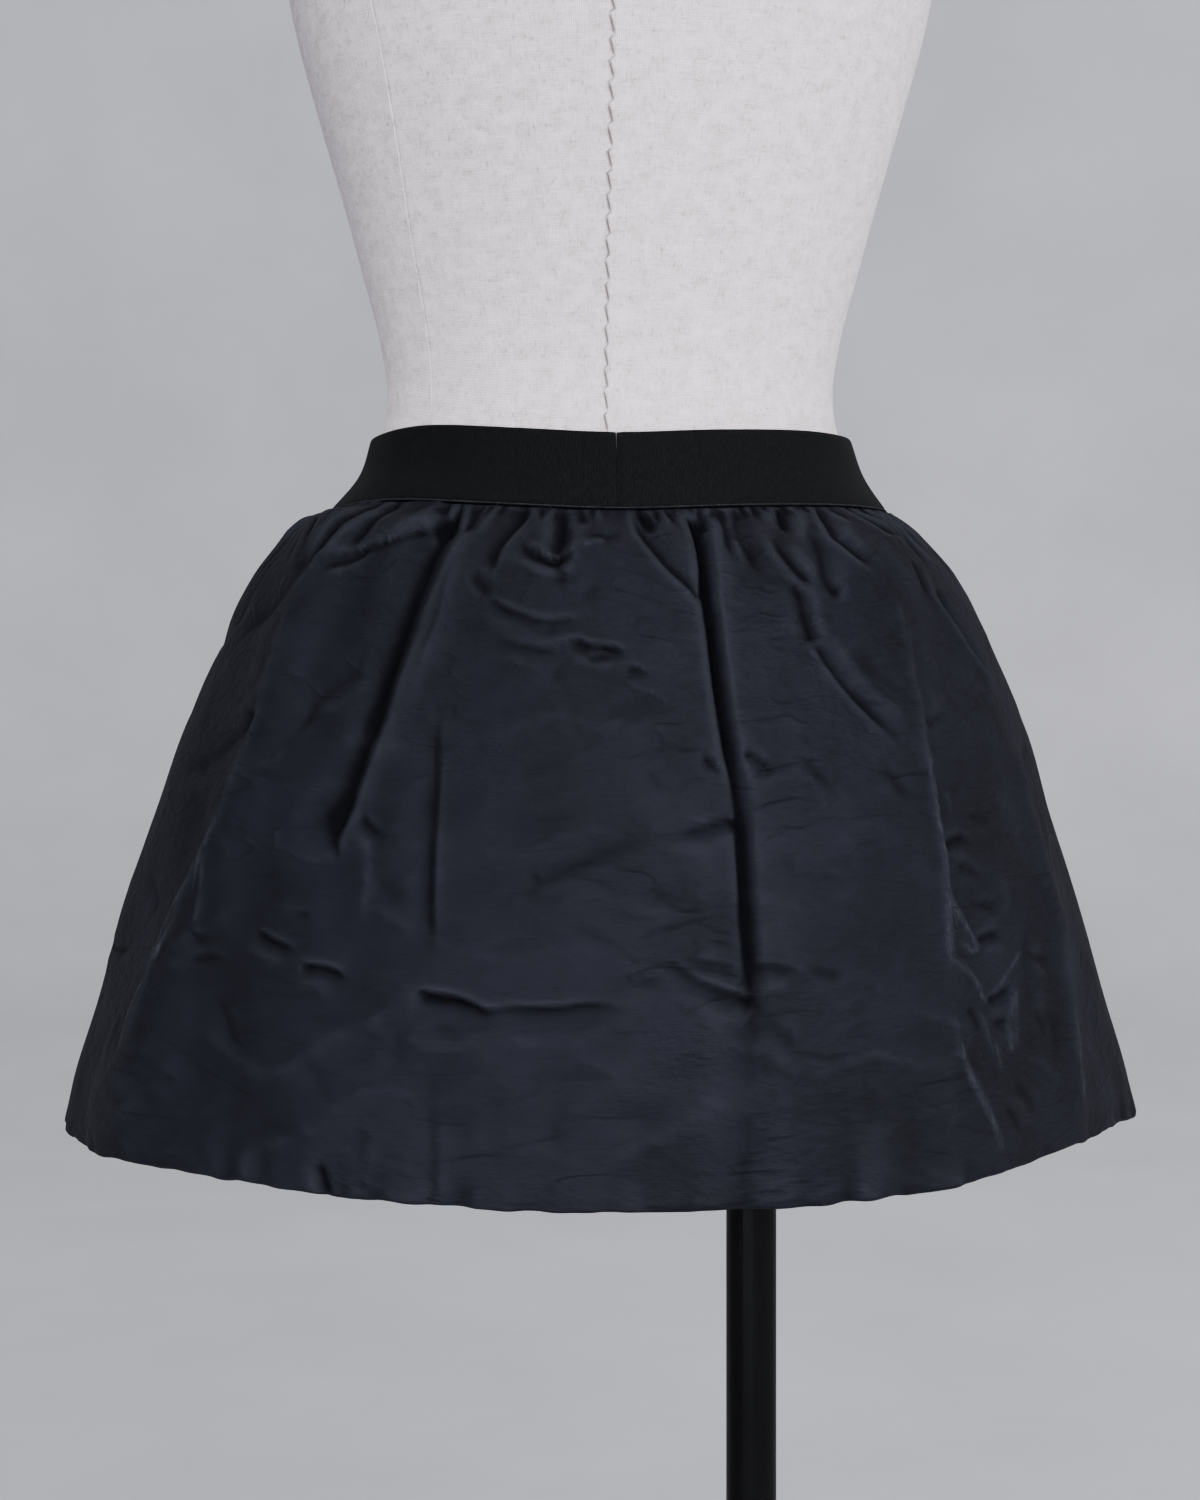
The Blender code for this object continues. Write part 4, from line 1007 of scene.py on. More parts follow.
@dataclass(frozen=True)
class TaffetaFinish:
    """Blue-black padded taffeta: a satin sheen, a fine cross rib and soft crumpling."""

    dark: tuple[float, float, float] = (0.0031, 0.0032, 0.0040)
    light: tuple[float, float, float] = (0.0060, 0.0062, 0.0094)
    # Painted sheen on the pressed edges, which are also rubbed, and painted highlight on ridges and
    # puff tops
    painted_sheen_and_wear: tuple[float, float, float] = (0.0300, 0.0320, 0.0400)
    shaded: tuple[float, float, float] = (0.0006, 0.0006, 0.0006)
    satin: float = 0.07
    satin_tint: tuple[float, float, float] = (0.74, 0.76, 1.0)
    rib_pitch: float = 0.00062
    crumple_size: float = 0.020

    def thin_creases(self, nodes: FinishNodes) -> bpy.types.Node:
        """Thin creases that wander over the cloth in patches, longer across than down.

        Args:
            nodes: The material being laid out.

        Returns:
            A height that is 1 on the flat cloth and falls to 0 in the creases.
        """
        wander = nodes.noise(nodes.metres(0.052, 0.018), 2.0, 0.42)
        thin = nodes.range(nodes.away(wander, 0.5), 0.0, 1.0, 0.0, 0.040)
        patch = nodes.range(nodes.noise(nodes.metres(0.07, 0.05)), 0.0, 1.0, 0.40, 0.66)
        return nodes.maths("SUBTRACT", 1.0, nodes.times(nodes.maths("SUBTRACT", 1.0, thin), patch))

    def pressed_edge(self, nodes: FinishNodes) -> bpy.types.Node:
        """The pressed edges, as thin broken lines, for their lower roughness and their painted
        highlight.

        Args:
            nodes: The material being laid out.

        Returns:
            How much of a pressed edge there is, from 0 to 1.
        """
        off_edge = nodes.maths("ABSOLUTE", nodes.mark("edge_gap"))
        streak = nodes.noise(nodes.metres(0.0016, 0.009), 3.0, 0.7)
        line = nodes.range(off_edge, 1.0, 0.0, 0.0, 0.0022)
        edge = nodes.times(line, nodes.range(streak, 0.0, 0.95, 0.36, 0.72))
        return nodes.maths("MULTIPLY", edge, nodes.mark("edge_strength"), True)

    def material(self) -> bpy.types.Material:
        """Lays out the material.

        Returns:
            The material.
        """
        nodes = FinishNodes("padded_taffeta")
        size = self.crumple_size
        rib = nodes.threads(nodes.metres(self.rib_pitch, self.rib_pitch), "Y", 0.6, 0.35)
        crumple = nodes.noise(nodes.metres(size, size * 0.7), 3.0, 0.55)
        small = nodes.noise(nodes.metres(size * 0.42, size * 0.24), 3.0, 0.6)
        fleck = nodes.noise(nodes.metres(0.0016, 0.0007), 2.0, 0.7)
        cloud = nodes.noise(nodes.metres(0.05, 0.06), 3.0)
        slub = nodes.noise(nodes.metres(0.0085, 0.0013), 3.0, 0.6)
        thin = self.thin_creases(nodes)
        relief = nodes.bump(nodes.away(crumple, 0.5), 0.0026, 0.65)
        for height, distance, strength in (
            (thin, 0.0009, 0.6),
            (small, 0.0009, 0.6),
            (slub, 0.00022, 0.5),
            (rib, 0.00006, 0.6),
            (fleck, 0.00010, 0.35),
        ):
            relief = nodes.bump(height, distance, strength, relief)
        hollow, edge = nodes.mark("hollow"), self.pressed_edge(nodes)
        painted_highlight = nodes.maths("MAXIMUM", edge, nodes.times(nodes.mark("raised"), 0.35))
        tone = nodes.plus(nodes.times(slub, 0.45), nodes.times(cloud, 0.55))
        colour = nodes.ramp(tone, (0.35, self.dark), (0.65, self.light))
        # Painted shade in the thin creases
        colour = nodes.laid_over(colour, nodes.range(thin, 0.26, 0.0), self.shaded)
        # Painted highlight on the pressed edges, the ridges and the puff tops
        colour = nodes.laid_over(colour, painted_highlight, self.painted_sheen_and_wear)
        # Painted shade in the hollows of the creases, folds and gathers
        colour = nodes.laid_over(colour, nodes.range(hollow, 0.0, 0.9), self.shaded)
        # The satin shows least in the hollows and where the cloth turns away
        turned = nodes.node("LayerWeight", {"Blend": 0.5}).outputs["Facing"]
        turned = nodes.range(turned, 0.0, 0.22, 0.45, 0.95)
        rough = nodes.plus(nodes.range(tone, 0.60, 0.50, 0.3, 0.7), turned)
        rough = nodes.plus(rough, nodes.range(hollow, 0.0, 0.45))
        rough = nodes.maths("SUBTRACT", rough, nodes.range(edge, 0.0, 0.12), True)
        return nodes.surface(
            Base_Color=colour,
            Roughness=rough,
            Specular_IOR_Level=self.satin,
            Specular_Tint=(*self.satin_tint, 1.0),
            Normal=relief,
        )


@dataclass(frozen=True)
class ElasticFinish:
    """Matte black woven elastic with fine upright ribs broken into short dashes."""

    base: tuple[float, float, float] = (0.0014, 0.0015, 0.0017)
    # Lighter rib crests: partly wear, partly painted sheen
    painted_sheen_and_wear: tuple[float, float, float] = (0.0074, 0.0078, 0.0088)
    # Painted highlight along the selvedge
    selvedge: tuple[float, float, float] = (0.0190, 0.0200, 0.0235)
    selvedge_highlight_line: float = 0.0013
    rib_pitch: float = 0.0009

    def material(self) -> bpy.types.Material:
        """Lays out the material.

        Returns:
            The material.
        """
        nodes = FinishNodes("woven_elastic")
        rib = nodes.threads(nodes.metres(self.rib_pitch, self.rib_pitch), "X", 0.4, 0.5)
        dash = nodes.noise(nodes.metres(self.rib_pitch * 0.9, 0.0034), 2.0, 0.6)
        pick = nodes.noise(nodes.metres(0.0011, 0.0006), 1.0, 0.6)
        tone = nodes.times(nodes.range(dash, 0.0, 1.0, 0.45, 0.80), nodes.range(rib, 0.25, 1.0))
        # The rib crests are lighter in short dashes: partly wear, partly painted sheen
        colour = nodes.ramp(tone, (0.0, self.base), (1.0, self.painted_sheen_and_wear))
        # The selvedge along the lower edge catches the light in a fine broken line, painted into the
        # colour as a highlight
        height = nodes.node("SeparateXYZ", {"Vector": nodes.metres(1.0, 1.0)}).outputs["Y"]
        line = nodes.range(nodes.away(height, self.selvedge_highlight_line), 1.0, 0.0, 0.0002, 0.0006)
        line = nodes.times(line, nodes.range(dash, 0.15, 1.0, 0.35, 0.65))
        colour = nodes.laid_over(colour, line, self.selvedge)
        relief = nodes.bump(rib, 0.00012, 0.6)
        relief = nodes.bump(pick, 0.00016, 0.6, relief)
        return nodes.surface(
            Base_Color=colour,
            Roughness=0.80,
            Specular_IOR_Level=0.06,
            Sheen_Weight=0.006,
            Sheen_Roughness=0.5,
            Normal=relief,
        )


@dataclass(frozen=True)
class LinenFinish:
    """Natural off-white linen in plain weave, with beige-grey slubs and shaded seams."""

    thread: tuple[float, float, float] = (0.62, 0.54, 0.56)
    pale: tuple[float, float, float] = (0.98, 0.875, 0.95)
    slub: tuple[float, float, float] = (0.34, 0.285, 0.265)
    # Painted shade between the threads
    hollow: tuple[float, float, float] = (0.42, 0.365, 0.365)
    stitch: tuple[float, float, float] = (0.20, 0.165, 0.145)
    pitch: float = 0.00082

    def weave(self, nodes: FinishNodes) -> tuple[bpy.types.NodeSocket, bpy.types.NodeSocket]:
        """The weave's height and its uneven threads.

        Args:
            nodes: The material being laid out.

        Returns:
            The height, low between threads, and a noise that follows single threads.
        """
        across = nodes.metres(self.pitch, self.pitch)
        warp = nodes.threads(across, "X", 0.9, 0.25)
        weft = nodes.threads(across, "Y", 0.9, 0.25, 1.06)
        upright = nodes.noise(nodes.metres(self.pitch * 1.1, 0.012), 2.0, 0.6)
        level = nodes.noise(nodes.metres(0.012, self.pitch * 1.1), 2.0, 0.6)
        height = nodes.times(warp.outputs["Fac"], weft.outputs["Fac"])
        height = nodes.maths("POWER", nodes.plus(height, 0.02), 0.45)
        single = nodes.plus(nodes.times(upright, 0.5), nodes.times(level, 0.5))
        return height.outputs[0], single.outputs[0]

    def material(self) -> bpy.types.Material:
        """Lays out the material.

        Returns:
            The material.
        """
        nodes = FinishNodes("natural_linen")
        height, single = self.weave(nodes)
        mottle = nodes.noise(nodes.metres(0.0105, 0.0080), 4.0, 0.65)
        tone = nodes.plus(nodes.times(single, 0.5), nodes.times(mottle, 0.5))
        colour = nodes.ramp(tone, (0.36, self.thread), (0.58, self.pale))
        slub_upright = nodes.noise(nodes.metres(0.0013, 0.0034), 2.0, 0.6)
        slub_level = nodes.noise(nodes.metres(0.0042, 0.0012), 2.0, 0.6)
        slubs = nodes.maths(
            "MAXIMUM",
            nodes.range(slub_upright, 0.0, 0.80, 0.55, 0.72),
            nodes.range(slub_level, 0.0, 0.60, 0.57, 0.74),
        )
        slubs = nodes.maths("MULTIPLY", slubs, nodes.range(mottle, 1.3, 0.4, 0.40, 0.60), True)
        colour = nodes.laid_over(colour, slubs, self.slub)
        # Painted shade between the threads, where the weave lies low
        colour = nodes.laid_over(colour, nodes.range(height, 0.75, 0.0, 0.10, 0.66), self.hollow)
        colour = nodes.laid_over(colour, nodes.mark("seam_shade"), self.stitch)
        relief = nodes.bump(nodes.noise(nodes.metres(0.03, 0.03), 3.0), 0.0008, 0.25)
        relief = nodes.bump(single, 0.00025, 0.5, relief)
        relief = nodes.bump(height, 0.00022, 0.75, relief)
        return nodes.surface(
            Base_Color=colour,
            Roughness=0.92,
            Specular_IOR_Level=0.2,
            Sheen_Weight=0.12,
            Sheen_Roughness=0.6,
            Normal=relief,
        )


@dataclass(frozen=True)
class BoardLinenFinish:
    """The same linen on the flat arm boards, laid by the object's own coordinates."""

    thread: tuple[float, float, float] = (0.66, 0.60, 0.59)
    pale: tuple[float, float, float] = (0.78, 0.735, 0.74)
    pitch: float = 0.00082

    def material(self) -> bpy.types.Material:
        """Lays out the material.

        Returns:
            The material.
        """
        nodes = FinishNodes("board_linen")
        place = nodes.blocks(self.pitch)
        warp, weft = (nodes.threads(place, axis, 0.9).outputs["Fac"] for axis in "YZ")
        slub = nodes.noise(nodes.blocks(0.004), 3.0, 0.6)
        return nodes.surface(
            Base_Color=nodes.ramp(slub, (0.35, self.thread), (0.6, self.pale)),
            Roughness=0.92,
            Specular_IOR_Level=0.2,
            Normal=nodes.bump(nodes.times(warp, weft), 0.0002, 0.7),
        )


@dataclass(frozen=True)
class StandPaintFinish:
    """Satin black paint with a faint orange peel and a dusting in uneven patches."""

    colour: tuple[float, float, float] = (0.0012, 0.0012, 0.0014)

    def material(self) -> bpy.types.Material:
        """Lays out the material.

        Returns:
            The material.
        """
        nodes = FinishNodes("stand_paint")
        peel = nodes.noise(nodes.blocks(0.0022))
        haze = nodes.noise(nodes.blocks(0.045), 4.0, 0.6)
        lighter = tuple(c * 1.7 for c in self.colour)
        return nodes.surface(
            Base_Color=nodes.ramp(haze, (0.4, self.colour), (0.75, lighter)),
            Roughness=nodes.range(haze, 0.34, 0.48),
            Specular_IOR_Level=0.05,
            Normal=nodes.bump(peel, 0.00012, 0.25),
        )


@dataclass(frozen=True)
class BeechFinish:
    """Oiled beech, turned, with its grain upright and short dark rays."""

    pale: tuple[float, float, float] = (0.50, 0.345, 0.215)
    deep: tuple[float, float, float] = (0.34, 0.215, 0.125)
    grain: tuple[float, float, float] = (90.0, 260.0, 260.0)
    rays: tuple[float, float, float] = (300.0, 1500.0, 1500.0)

    def material(self) -> bpy.types.Material:
        """Lays out the material.

        Returns:
            The material.
        """
        nodes = FinishNodes("oiled_beech")
        place = nodes.node("TexCoord").outputs["Object"]
        grain, rays = (
            nodes.noise(nodes.node("Mapping", {"Vector": place, "Scale": scale}), detail, roughness)
            for scale, detail, roughness in ((self.grain, 4.0, 0.6), (self.rays, 1.0, 0.5))
        )
        tone = nodes.plus(nodes.times(grain, 0.75), nodes.times(rays, 0.25))
        return nodes.surface(
            Base_Color=nodes.ramp(tone, (0.38, self.deep), (0.60, self.pale)),
            Roughness=nodes.range(grain, 0.38, 0.52),
            Coat_Weight=0.15,
            Coat_Roughness=0.3,
            Normal=nodes.bump(grain, 0.0002, 0.3),
        )


@dataclass(frozen=True)
class PlasterFinish:
    """Pale grey studio plaster for the floor and the room."""

    colour: tuple[float, float, float] = (0.52, 0.52, 0.545)

    def material(self) -> bpy.types.Material:
        """Lays out the material.

        Returns:
            The material.
        """
        nodes = FinishNodes("studio_plaster")
        cloud = nodes.noise(nodes.blocks(0.55), 5.0, 0.6)
        darker = tuple(c * 0.90 for c in self.colour)
        return nodes.surface(
            Base_Color=nodes.ramp(cloud, (0.35, darker), (0.65, self.colour)),
            Roughness=0.95,
            Specular_IOR_Level=0.1,
        )


@dataclass
class PanelCloth:
    """One padded panel of the skirt, gathered under the elastic and bagged out at the hem."""

    panel: Panel
    form: SkirtForm
    gathers: Sequence[Gather]
    creases: Sequence[Crease]
    noise: ClothNoise
    columns: int = 440
    thickness: float = 0.0036
    flat_radius: float = 0.235
    far_off: float = 0.03
    fold_share: float = 0.72
    tuck: tuple[tuple[float, float], ...] = (
        (0.0046, 0.0072),
        (0.0026, 0.0062),
        (0.0010, 0.0044),
        (0.0002, 0.0020),
    )
    hem_turns: int = 6
    inner_rows: int = 18
    row_spacing: tuple[tuple[float, float], ...] = (
        (0.020, 0.0010),
        (0.090, 0.0014),
        (0.185, 0.0022),
        (0.235, 0.0015),
        (0.300, 0.0026),
        (HEM_DROP - 0.0015, 0.0014),
    )

    def drops(self) -> np.ndarray:
        """Spaces the outer rows, closest under the elastic and among the level creases.

        Returns:
            Their drops in metres.
        """
        made, drop = [0.0005], 0.0005
        for reach, spacing in self.row_spacing:
            count = max(1, round((reach - drop) / spacing))
            made += list(np.linspace(drop, reach, count + 1)[1:])
            drop = reach
        return np.array(made)

    def angles(self) -> np.ndarray:
        """Spaces the columns, closer together in the middle than at the side seams.

        Returns:
            Their angles in radians.
        """
        start, end = (math.radians(a) for a in self.panel.value)
        t = np.linspace(-1, 1, self.columns)
        return (start + end) / 2 + (end - start) / 2 * (0.75 * t + 0.25 * t**3)

    def gather_creases(self) -> list[Crease]:
        """Turns the gathers into creases that start under the elastic.

        Returns:
            The creases.
        """
        made = []
        for g in self.gathers:
            bend = (g.angle + g.lean * 0.35, g.length * 0.35)
            path = ((g.angle, -1), bend, (g.angle + g.lean, g.length))
            depths, reach = (g.depth * 1.5, g.depth * 0.9), (g.width * 0.9,) * 2
            made.append(Crease(path, depths, reach, (1.15, 1.15), 0.3, (0.0, 0.7)))
        return made

    def off_seam(self, angle: np.ndarray) -> np.ndarray:
        """How far angles in radians are from the nearer side seam, in degrees."""
        return np.abs((np.degrees(angle) + 180) % 180 - 90)

    def unevenness(self, angle: np.ndarray, drop: np.ndarray) -> np.ndarray:
        """Soft swelling, crumpling and hem puckers, none of them at the side seams.

        Args:
            angle: Angles in radians.
            drop: Drops in metres.

        Returns:
            An inward push in metres.
        """
        across, down = angle * self.form.radius(drop), drop
        swell = self.noise.smooth(across / 0.062 + 9.1, down / 0.085) * 0.0013
        swell += self.noise.smooth(across / 0.028 + 3.3, down / 0.050 + 5.0) * 0.0006
        crumple = self.noise.crumple(across / 0.036 + 1.7, down / 0.019 + 8.0) * 0.00060
        at_side = eased((np.abs(np.sin(angle)) - 0.74) / 0.2)
        crumple *= eased((drop - 0.020) / 0.040) * (1 - 0.6 * at_side)
        flutes = self.noise.smooth(across / 0.021 + 4.0, down / 0.33) * 0.0010
        flutes *= eased((drop - 0.03) / 0.05)
        pucker = self.noise.smooth(across / 0.0085, down * 0 + 0.5) * 0.0016
        pucker *= np.exp(-(((HEM_DROP - drop) / 0.012) ** 2))
        held = eased(drop / 0.03) * eased((self.off_seam(angle) - 1) / 9)
        return (swell + crumple + flutes) * held - pucker

    def side_seams(self, angle: np.ndarray, drop: np.ndarray) -> np.ndarray:
        """The dip and the small puckers where the two panels are sewn together.

        Args:
            angle: Angles in radians.
            drop: Drops in metres.

        Returns:
            An inward push in metres.
        """
        gap = np.radians(self.off_seam(angle)) * self.form.radius(drop)
        row = 2.5 if self.panel is Panel.BACK else 6.5
        beat = 0.5 + 0.5 * self.noise.smooth(drop / 0.011, drop * 0 + row)
        dip = 0.0021 * np.exp(-((gap / 0.0019) ** 1.4))
        return dip + 0.0009 * beat * np.exp(-((gap / 0.008) ** 2))

    def outer_points(
        self, angles: np.ndarray, drops: np.ndarray
    ) -> tuple[np.ndarray, np.ndarray, np.ndarray]:
        """The outer wall, the surface before any fold, and its normals.

        Args:
            angles: The columns' angles in radians.
            drops: The rows' drops in metres.

        Returns:
            Two arrays of points and one of unit vectors, rows by columns by three.
        """
        angle, drop = np.meshgrid(angles, drops)
        plain, normal = self.form.point(angle, drop), self.form.normal(angle, drop)
        push = self.form.fold_push(angle, drop)
        push += self.form.crease_push([*self.gather_creases(), *self.creases], angle, drop)
        push += self.unevenness(angle, drop) + self.side_seams(angle, drop)
        return plain - normal * push[..., None], plain, normal

    def inner_points(
        self, outer: np.ndarray, plain: np.ndarray, normal: np.ndarray, drops: np.ndarray
    ) -> tuple[np.ndarray, np.ndarray]:
        """The wall next to the form, under the deepest of the outer wall round each of its points.

        Args:
            outer: The outer wall.
            plain: The surface before any fold.
            normal: Its normals.
            drops: The outer rows' drops in metres.

        Returns:
            The wall from the hem up, and its rows' drops.
        """
        push = np.einsum("rck,rck->rc", plain - outer, normal)
        first = np.searchsorted(drops, 0.004)
        picked = np.unique(np.linspace(first, len(drops) - 1, self.inner_rows).astype(int))
        rows = []
        for before, row, after in zip([picked[0], *picked[:-1]], picked, [*picked[1:], picked[-1]]):
            deepest = push[before : after + 1].max(axis=0)
            deepest = np.maximum.reduce([np.roll(deepest, 1), deepest, np.roll(deepest, -1)])
            depth = deepest + self.thickness * (0.55 + 0.45 * float(eased(drops[row] / 0.04)))
            rows.append(plain[row] - normal[row] * depth[:, None])
        rows[-1] = outer[-1] - normal[-1] * self.thickness
        return np.array(rows[::-1]), drops[picked][::-1]

    def build(self) -> bpy.types.Object:
        """Builds the panel as one closed padded sheet.

        Returns:
            The panel's object.
        """
        angles = self.angles()
        drops = self.drops()
        outer, plain, normal = self.outer_points(angles, drops)
        near_hem = np.exp(-(((HEM_DROP - drops) / 0.007) ** 2))[:, None]
        flat = angles * self.flat_radius
        outer[..., 2] += near_hem * self.noise.smooth(flat / 0.0095 + 2.2, flat * 0 + 4.4) * 0.0009
        top = [outer[0] - normal[0] * inset + (0, 0, rise) for rise, inset in self.tuck]
        # The hem rolls from the outer wall to the inner one round half the wadding's thickness
        half = self.thickness / 2
        centre = outer[-1] - normal[-1] * half
        down = np.array((0.0, 0.0, -1.0))
        hem = []
        for k in range(1, self.hem_turns + 1):
            turn = math.pi * k / (self.hem_turns + 1)
            hem.append(centre + normal[-1] * half * math.cos(turn) + down * half * math.sin(turn))
        inner, inner_drops = self.inner_points(outer, plain, normal, drops)
        points = np.concatenate([top, outer, hem, inner, [top[0]]])
        edge = -SEAM_GAP / 2 if self.panel is Panel.BACK else SEAM_GAP / 2
        points[:, 0, 1] = points[:, -1, 1] = edge
        # The cloth's own length runs on from the tuck to the hem and up the inner wall
        turn_lengths = np.linspace(0.3120, 0.3150, self.hem_turns)
        parts = [[-r for r, _ in self.tuck], drops, turn_lengths, 0.626 - inner_drops, [0.640]]
        across, down_cloth = np.meshgrid(flat, np.concatenate(parts))
        metres = np.stack([across, -down_cloth], axis=-1)
        cloth = woven_sheet(f"{self.panel.node}_cloth", points, metres)
        self.mark_pressed(cloth, angles, drops)
        # The large folds are shaded by the light alone, so their share of the relief is taken off
        relief = np.einsum("rck,rck->rc", plain - outer, normal)
        relief -= self.fold_share * self.form.fold_push(*np.meshgrid(angles, drops))
        self.mark_relief(cloth, relief)
        close_shell(cloth, smooth_angle=75)
        return cloth

    def mark(
        self, cloth: bpy.types.Object, name: str, marks: np.ndarray, outside: float = 0.0
    ) -> None:
        """Stores one value for each point of the outer wall.

        Args:
            cloth: The panel, as the grid it was made from.
            name: The mark's name.
            marks: The outer wall's values, rows by columns.
            outside: The value of all other points.
        """
        whole = np.full((len(cloth.data.vertices) // self.columns, self.columns), outside)
        whole[len(self.tuck) : len(self.tuck) + len(marks)] = marks
        stored = cloth.data.attributes.new(name, "FLOAT", "POINT")
        stored.data.foreach_set("value", whole.ravel())

    def mark_relief(self, cloth: bpy.types.Object, push: np.ndarray) -> None:
        """Marks how far each point lies in a hollow or on a ridge, from 0 to 1, as painted shade and
        painted highlight.

        Args:
            cloth: The panel, as the grid it was made from.
            push: How far in each point of the outer wall lies.
        """
        fine, broad, wide = (push - self.averaged(push, r) for r in ((3, 2), (9, 5), (18, 10)))
        # The gathers lie closest under the elastic, and the painted shade in their hollows is darkest
        # there
        fine = fine * (1 + 1.2 * np.exp(-((self.drops() / 0.035) ** 2)))[:, None]
        # Painted shade, darkest where a point lies lowest below the cloth round it
        hollow = np.maximum.reduce(
            [
                held_share(fine, 0.0001, 0.0017, 0.8),
                held_share(broad, 0.0007, 0.0020, 1.0),
                held_share(wide, 0.0010, 0.0065, 0.45),
            ]
        )
        # Painted highlight where a point stands above the cloth round it
        raised = held_share(-fine, 0.0001, 0.0014, 0.6)
        raised = np.maximum(raised, held_share(-broad, 0.0005, 0.0030, 0.6))
        self.mark(cloth, "hollow", hollow)
        self.mark(cloth, "raised", raised)

    def averaged(self, push: np.ndarray, reach: tuple[int, int]) -> np.ndarray:
        """Averages a grid twice over the points round each one.

        Args:
            push: The grid, rows by columns.
            reach: How many columns and how many rows each way.

        Returns:
            The averages, as large as the grid.
        """
        for axis, count in ((1, reach[0]), (0, reach[1])) * 2:
            pads = [(count, count) if k == axis else (0, 0) for k in (0, 1)]
            wider, size = np.pad(push, pads, mode="edge"), push.shape[axis]
            shifted = [wider.take(range(k, k + size), axis) for k in range(2 * count + 1)]
            push = np.mean(shifted, axis=0)
        return push

    def mark_pressed(self, cloth: bpy.types.Object, angles: np.ndarray, drops: np.ndarray) -> None:
        """Marks the distance to the nearest pressed edge and how strong that edge is.

        Args:
            cloth: The panel, as the grid it was made from.
            angles: The columns' angles in radians.
            drops: The outer rows' drops in metres.
        """
        angle, drop = np.meshgrid(angles, drops)
        gap, strength = np.full(angle.shape, self.far_off), np.zeros(angle.shape)
        for edge in PRESSED_EDGES:
            path = [(a, d * MM) for a, d in edge.path]
            apart, side, along = self.form.nearest(path, angle, drop, 3 * len(path))
            # Past its ends the line fades out
            ends = eased(along / 0.15) * eased((1 - along) / 0.15)
            nearer = apart < np.abs(gap)
            gap = np.where(nearer, apart * side / edge.width, gap)
            strength = np.where(nearer, edge.strength * ends, strength)
        self.mark(cloth, "edge_gap", gap, self.far_off)
        self.mark(cloth, "edge_strength", strength)

    def dress(self, finish: bpy.types.Material) -> bpy.types.Object:
        """Builds the panel, gives it its finish and places it in the frame.

        Args:
            finish: The cloth's material.

        Returns:
            The panel's object.
        """
        cloth = self.build()
        cloth.data.materials.append(finish)
        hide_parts(self.panel.node)
        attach(cloth, "root")
        return cloth


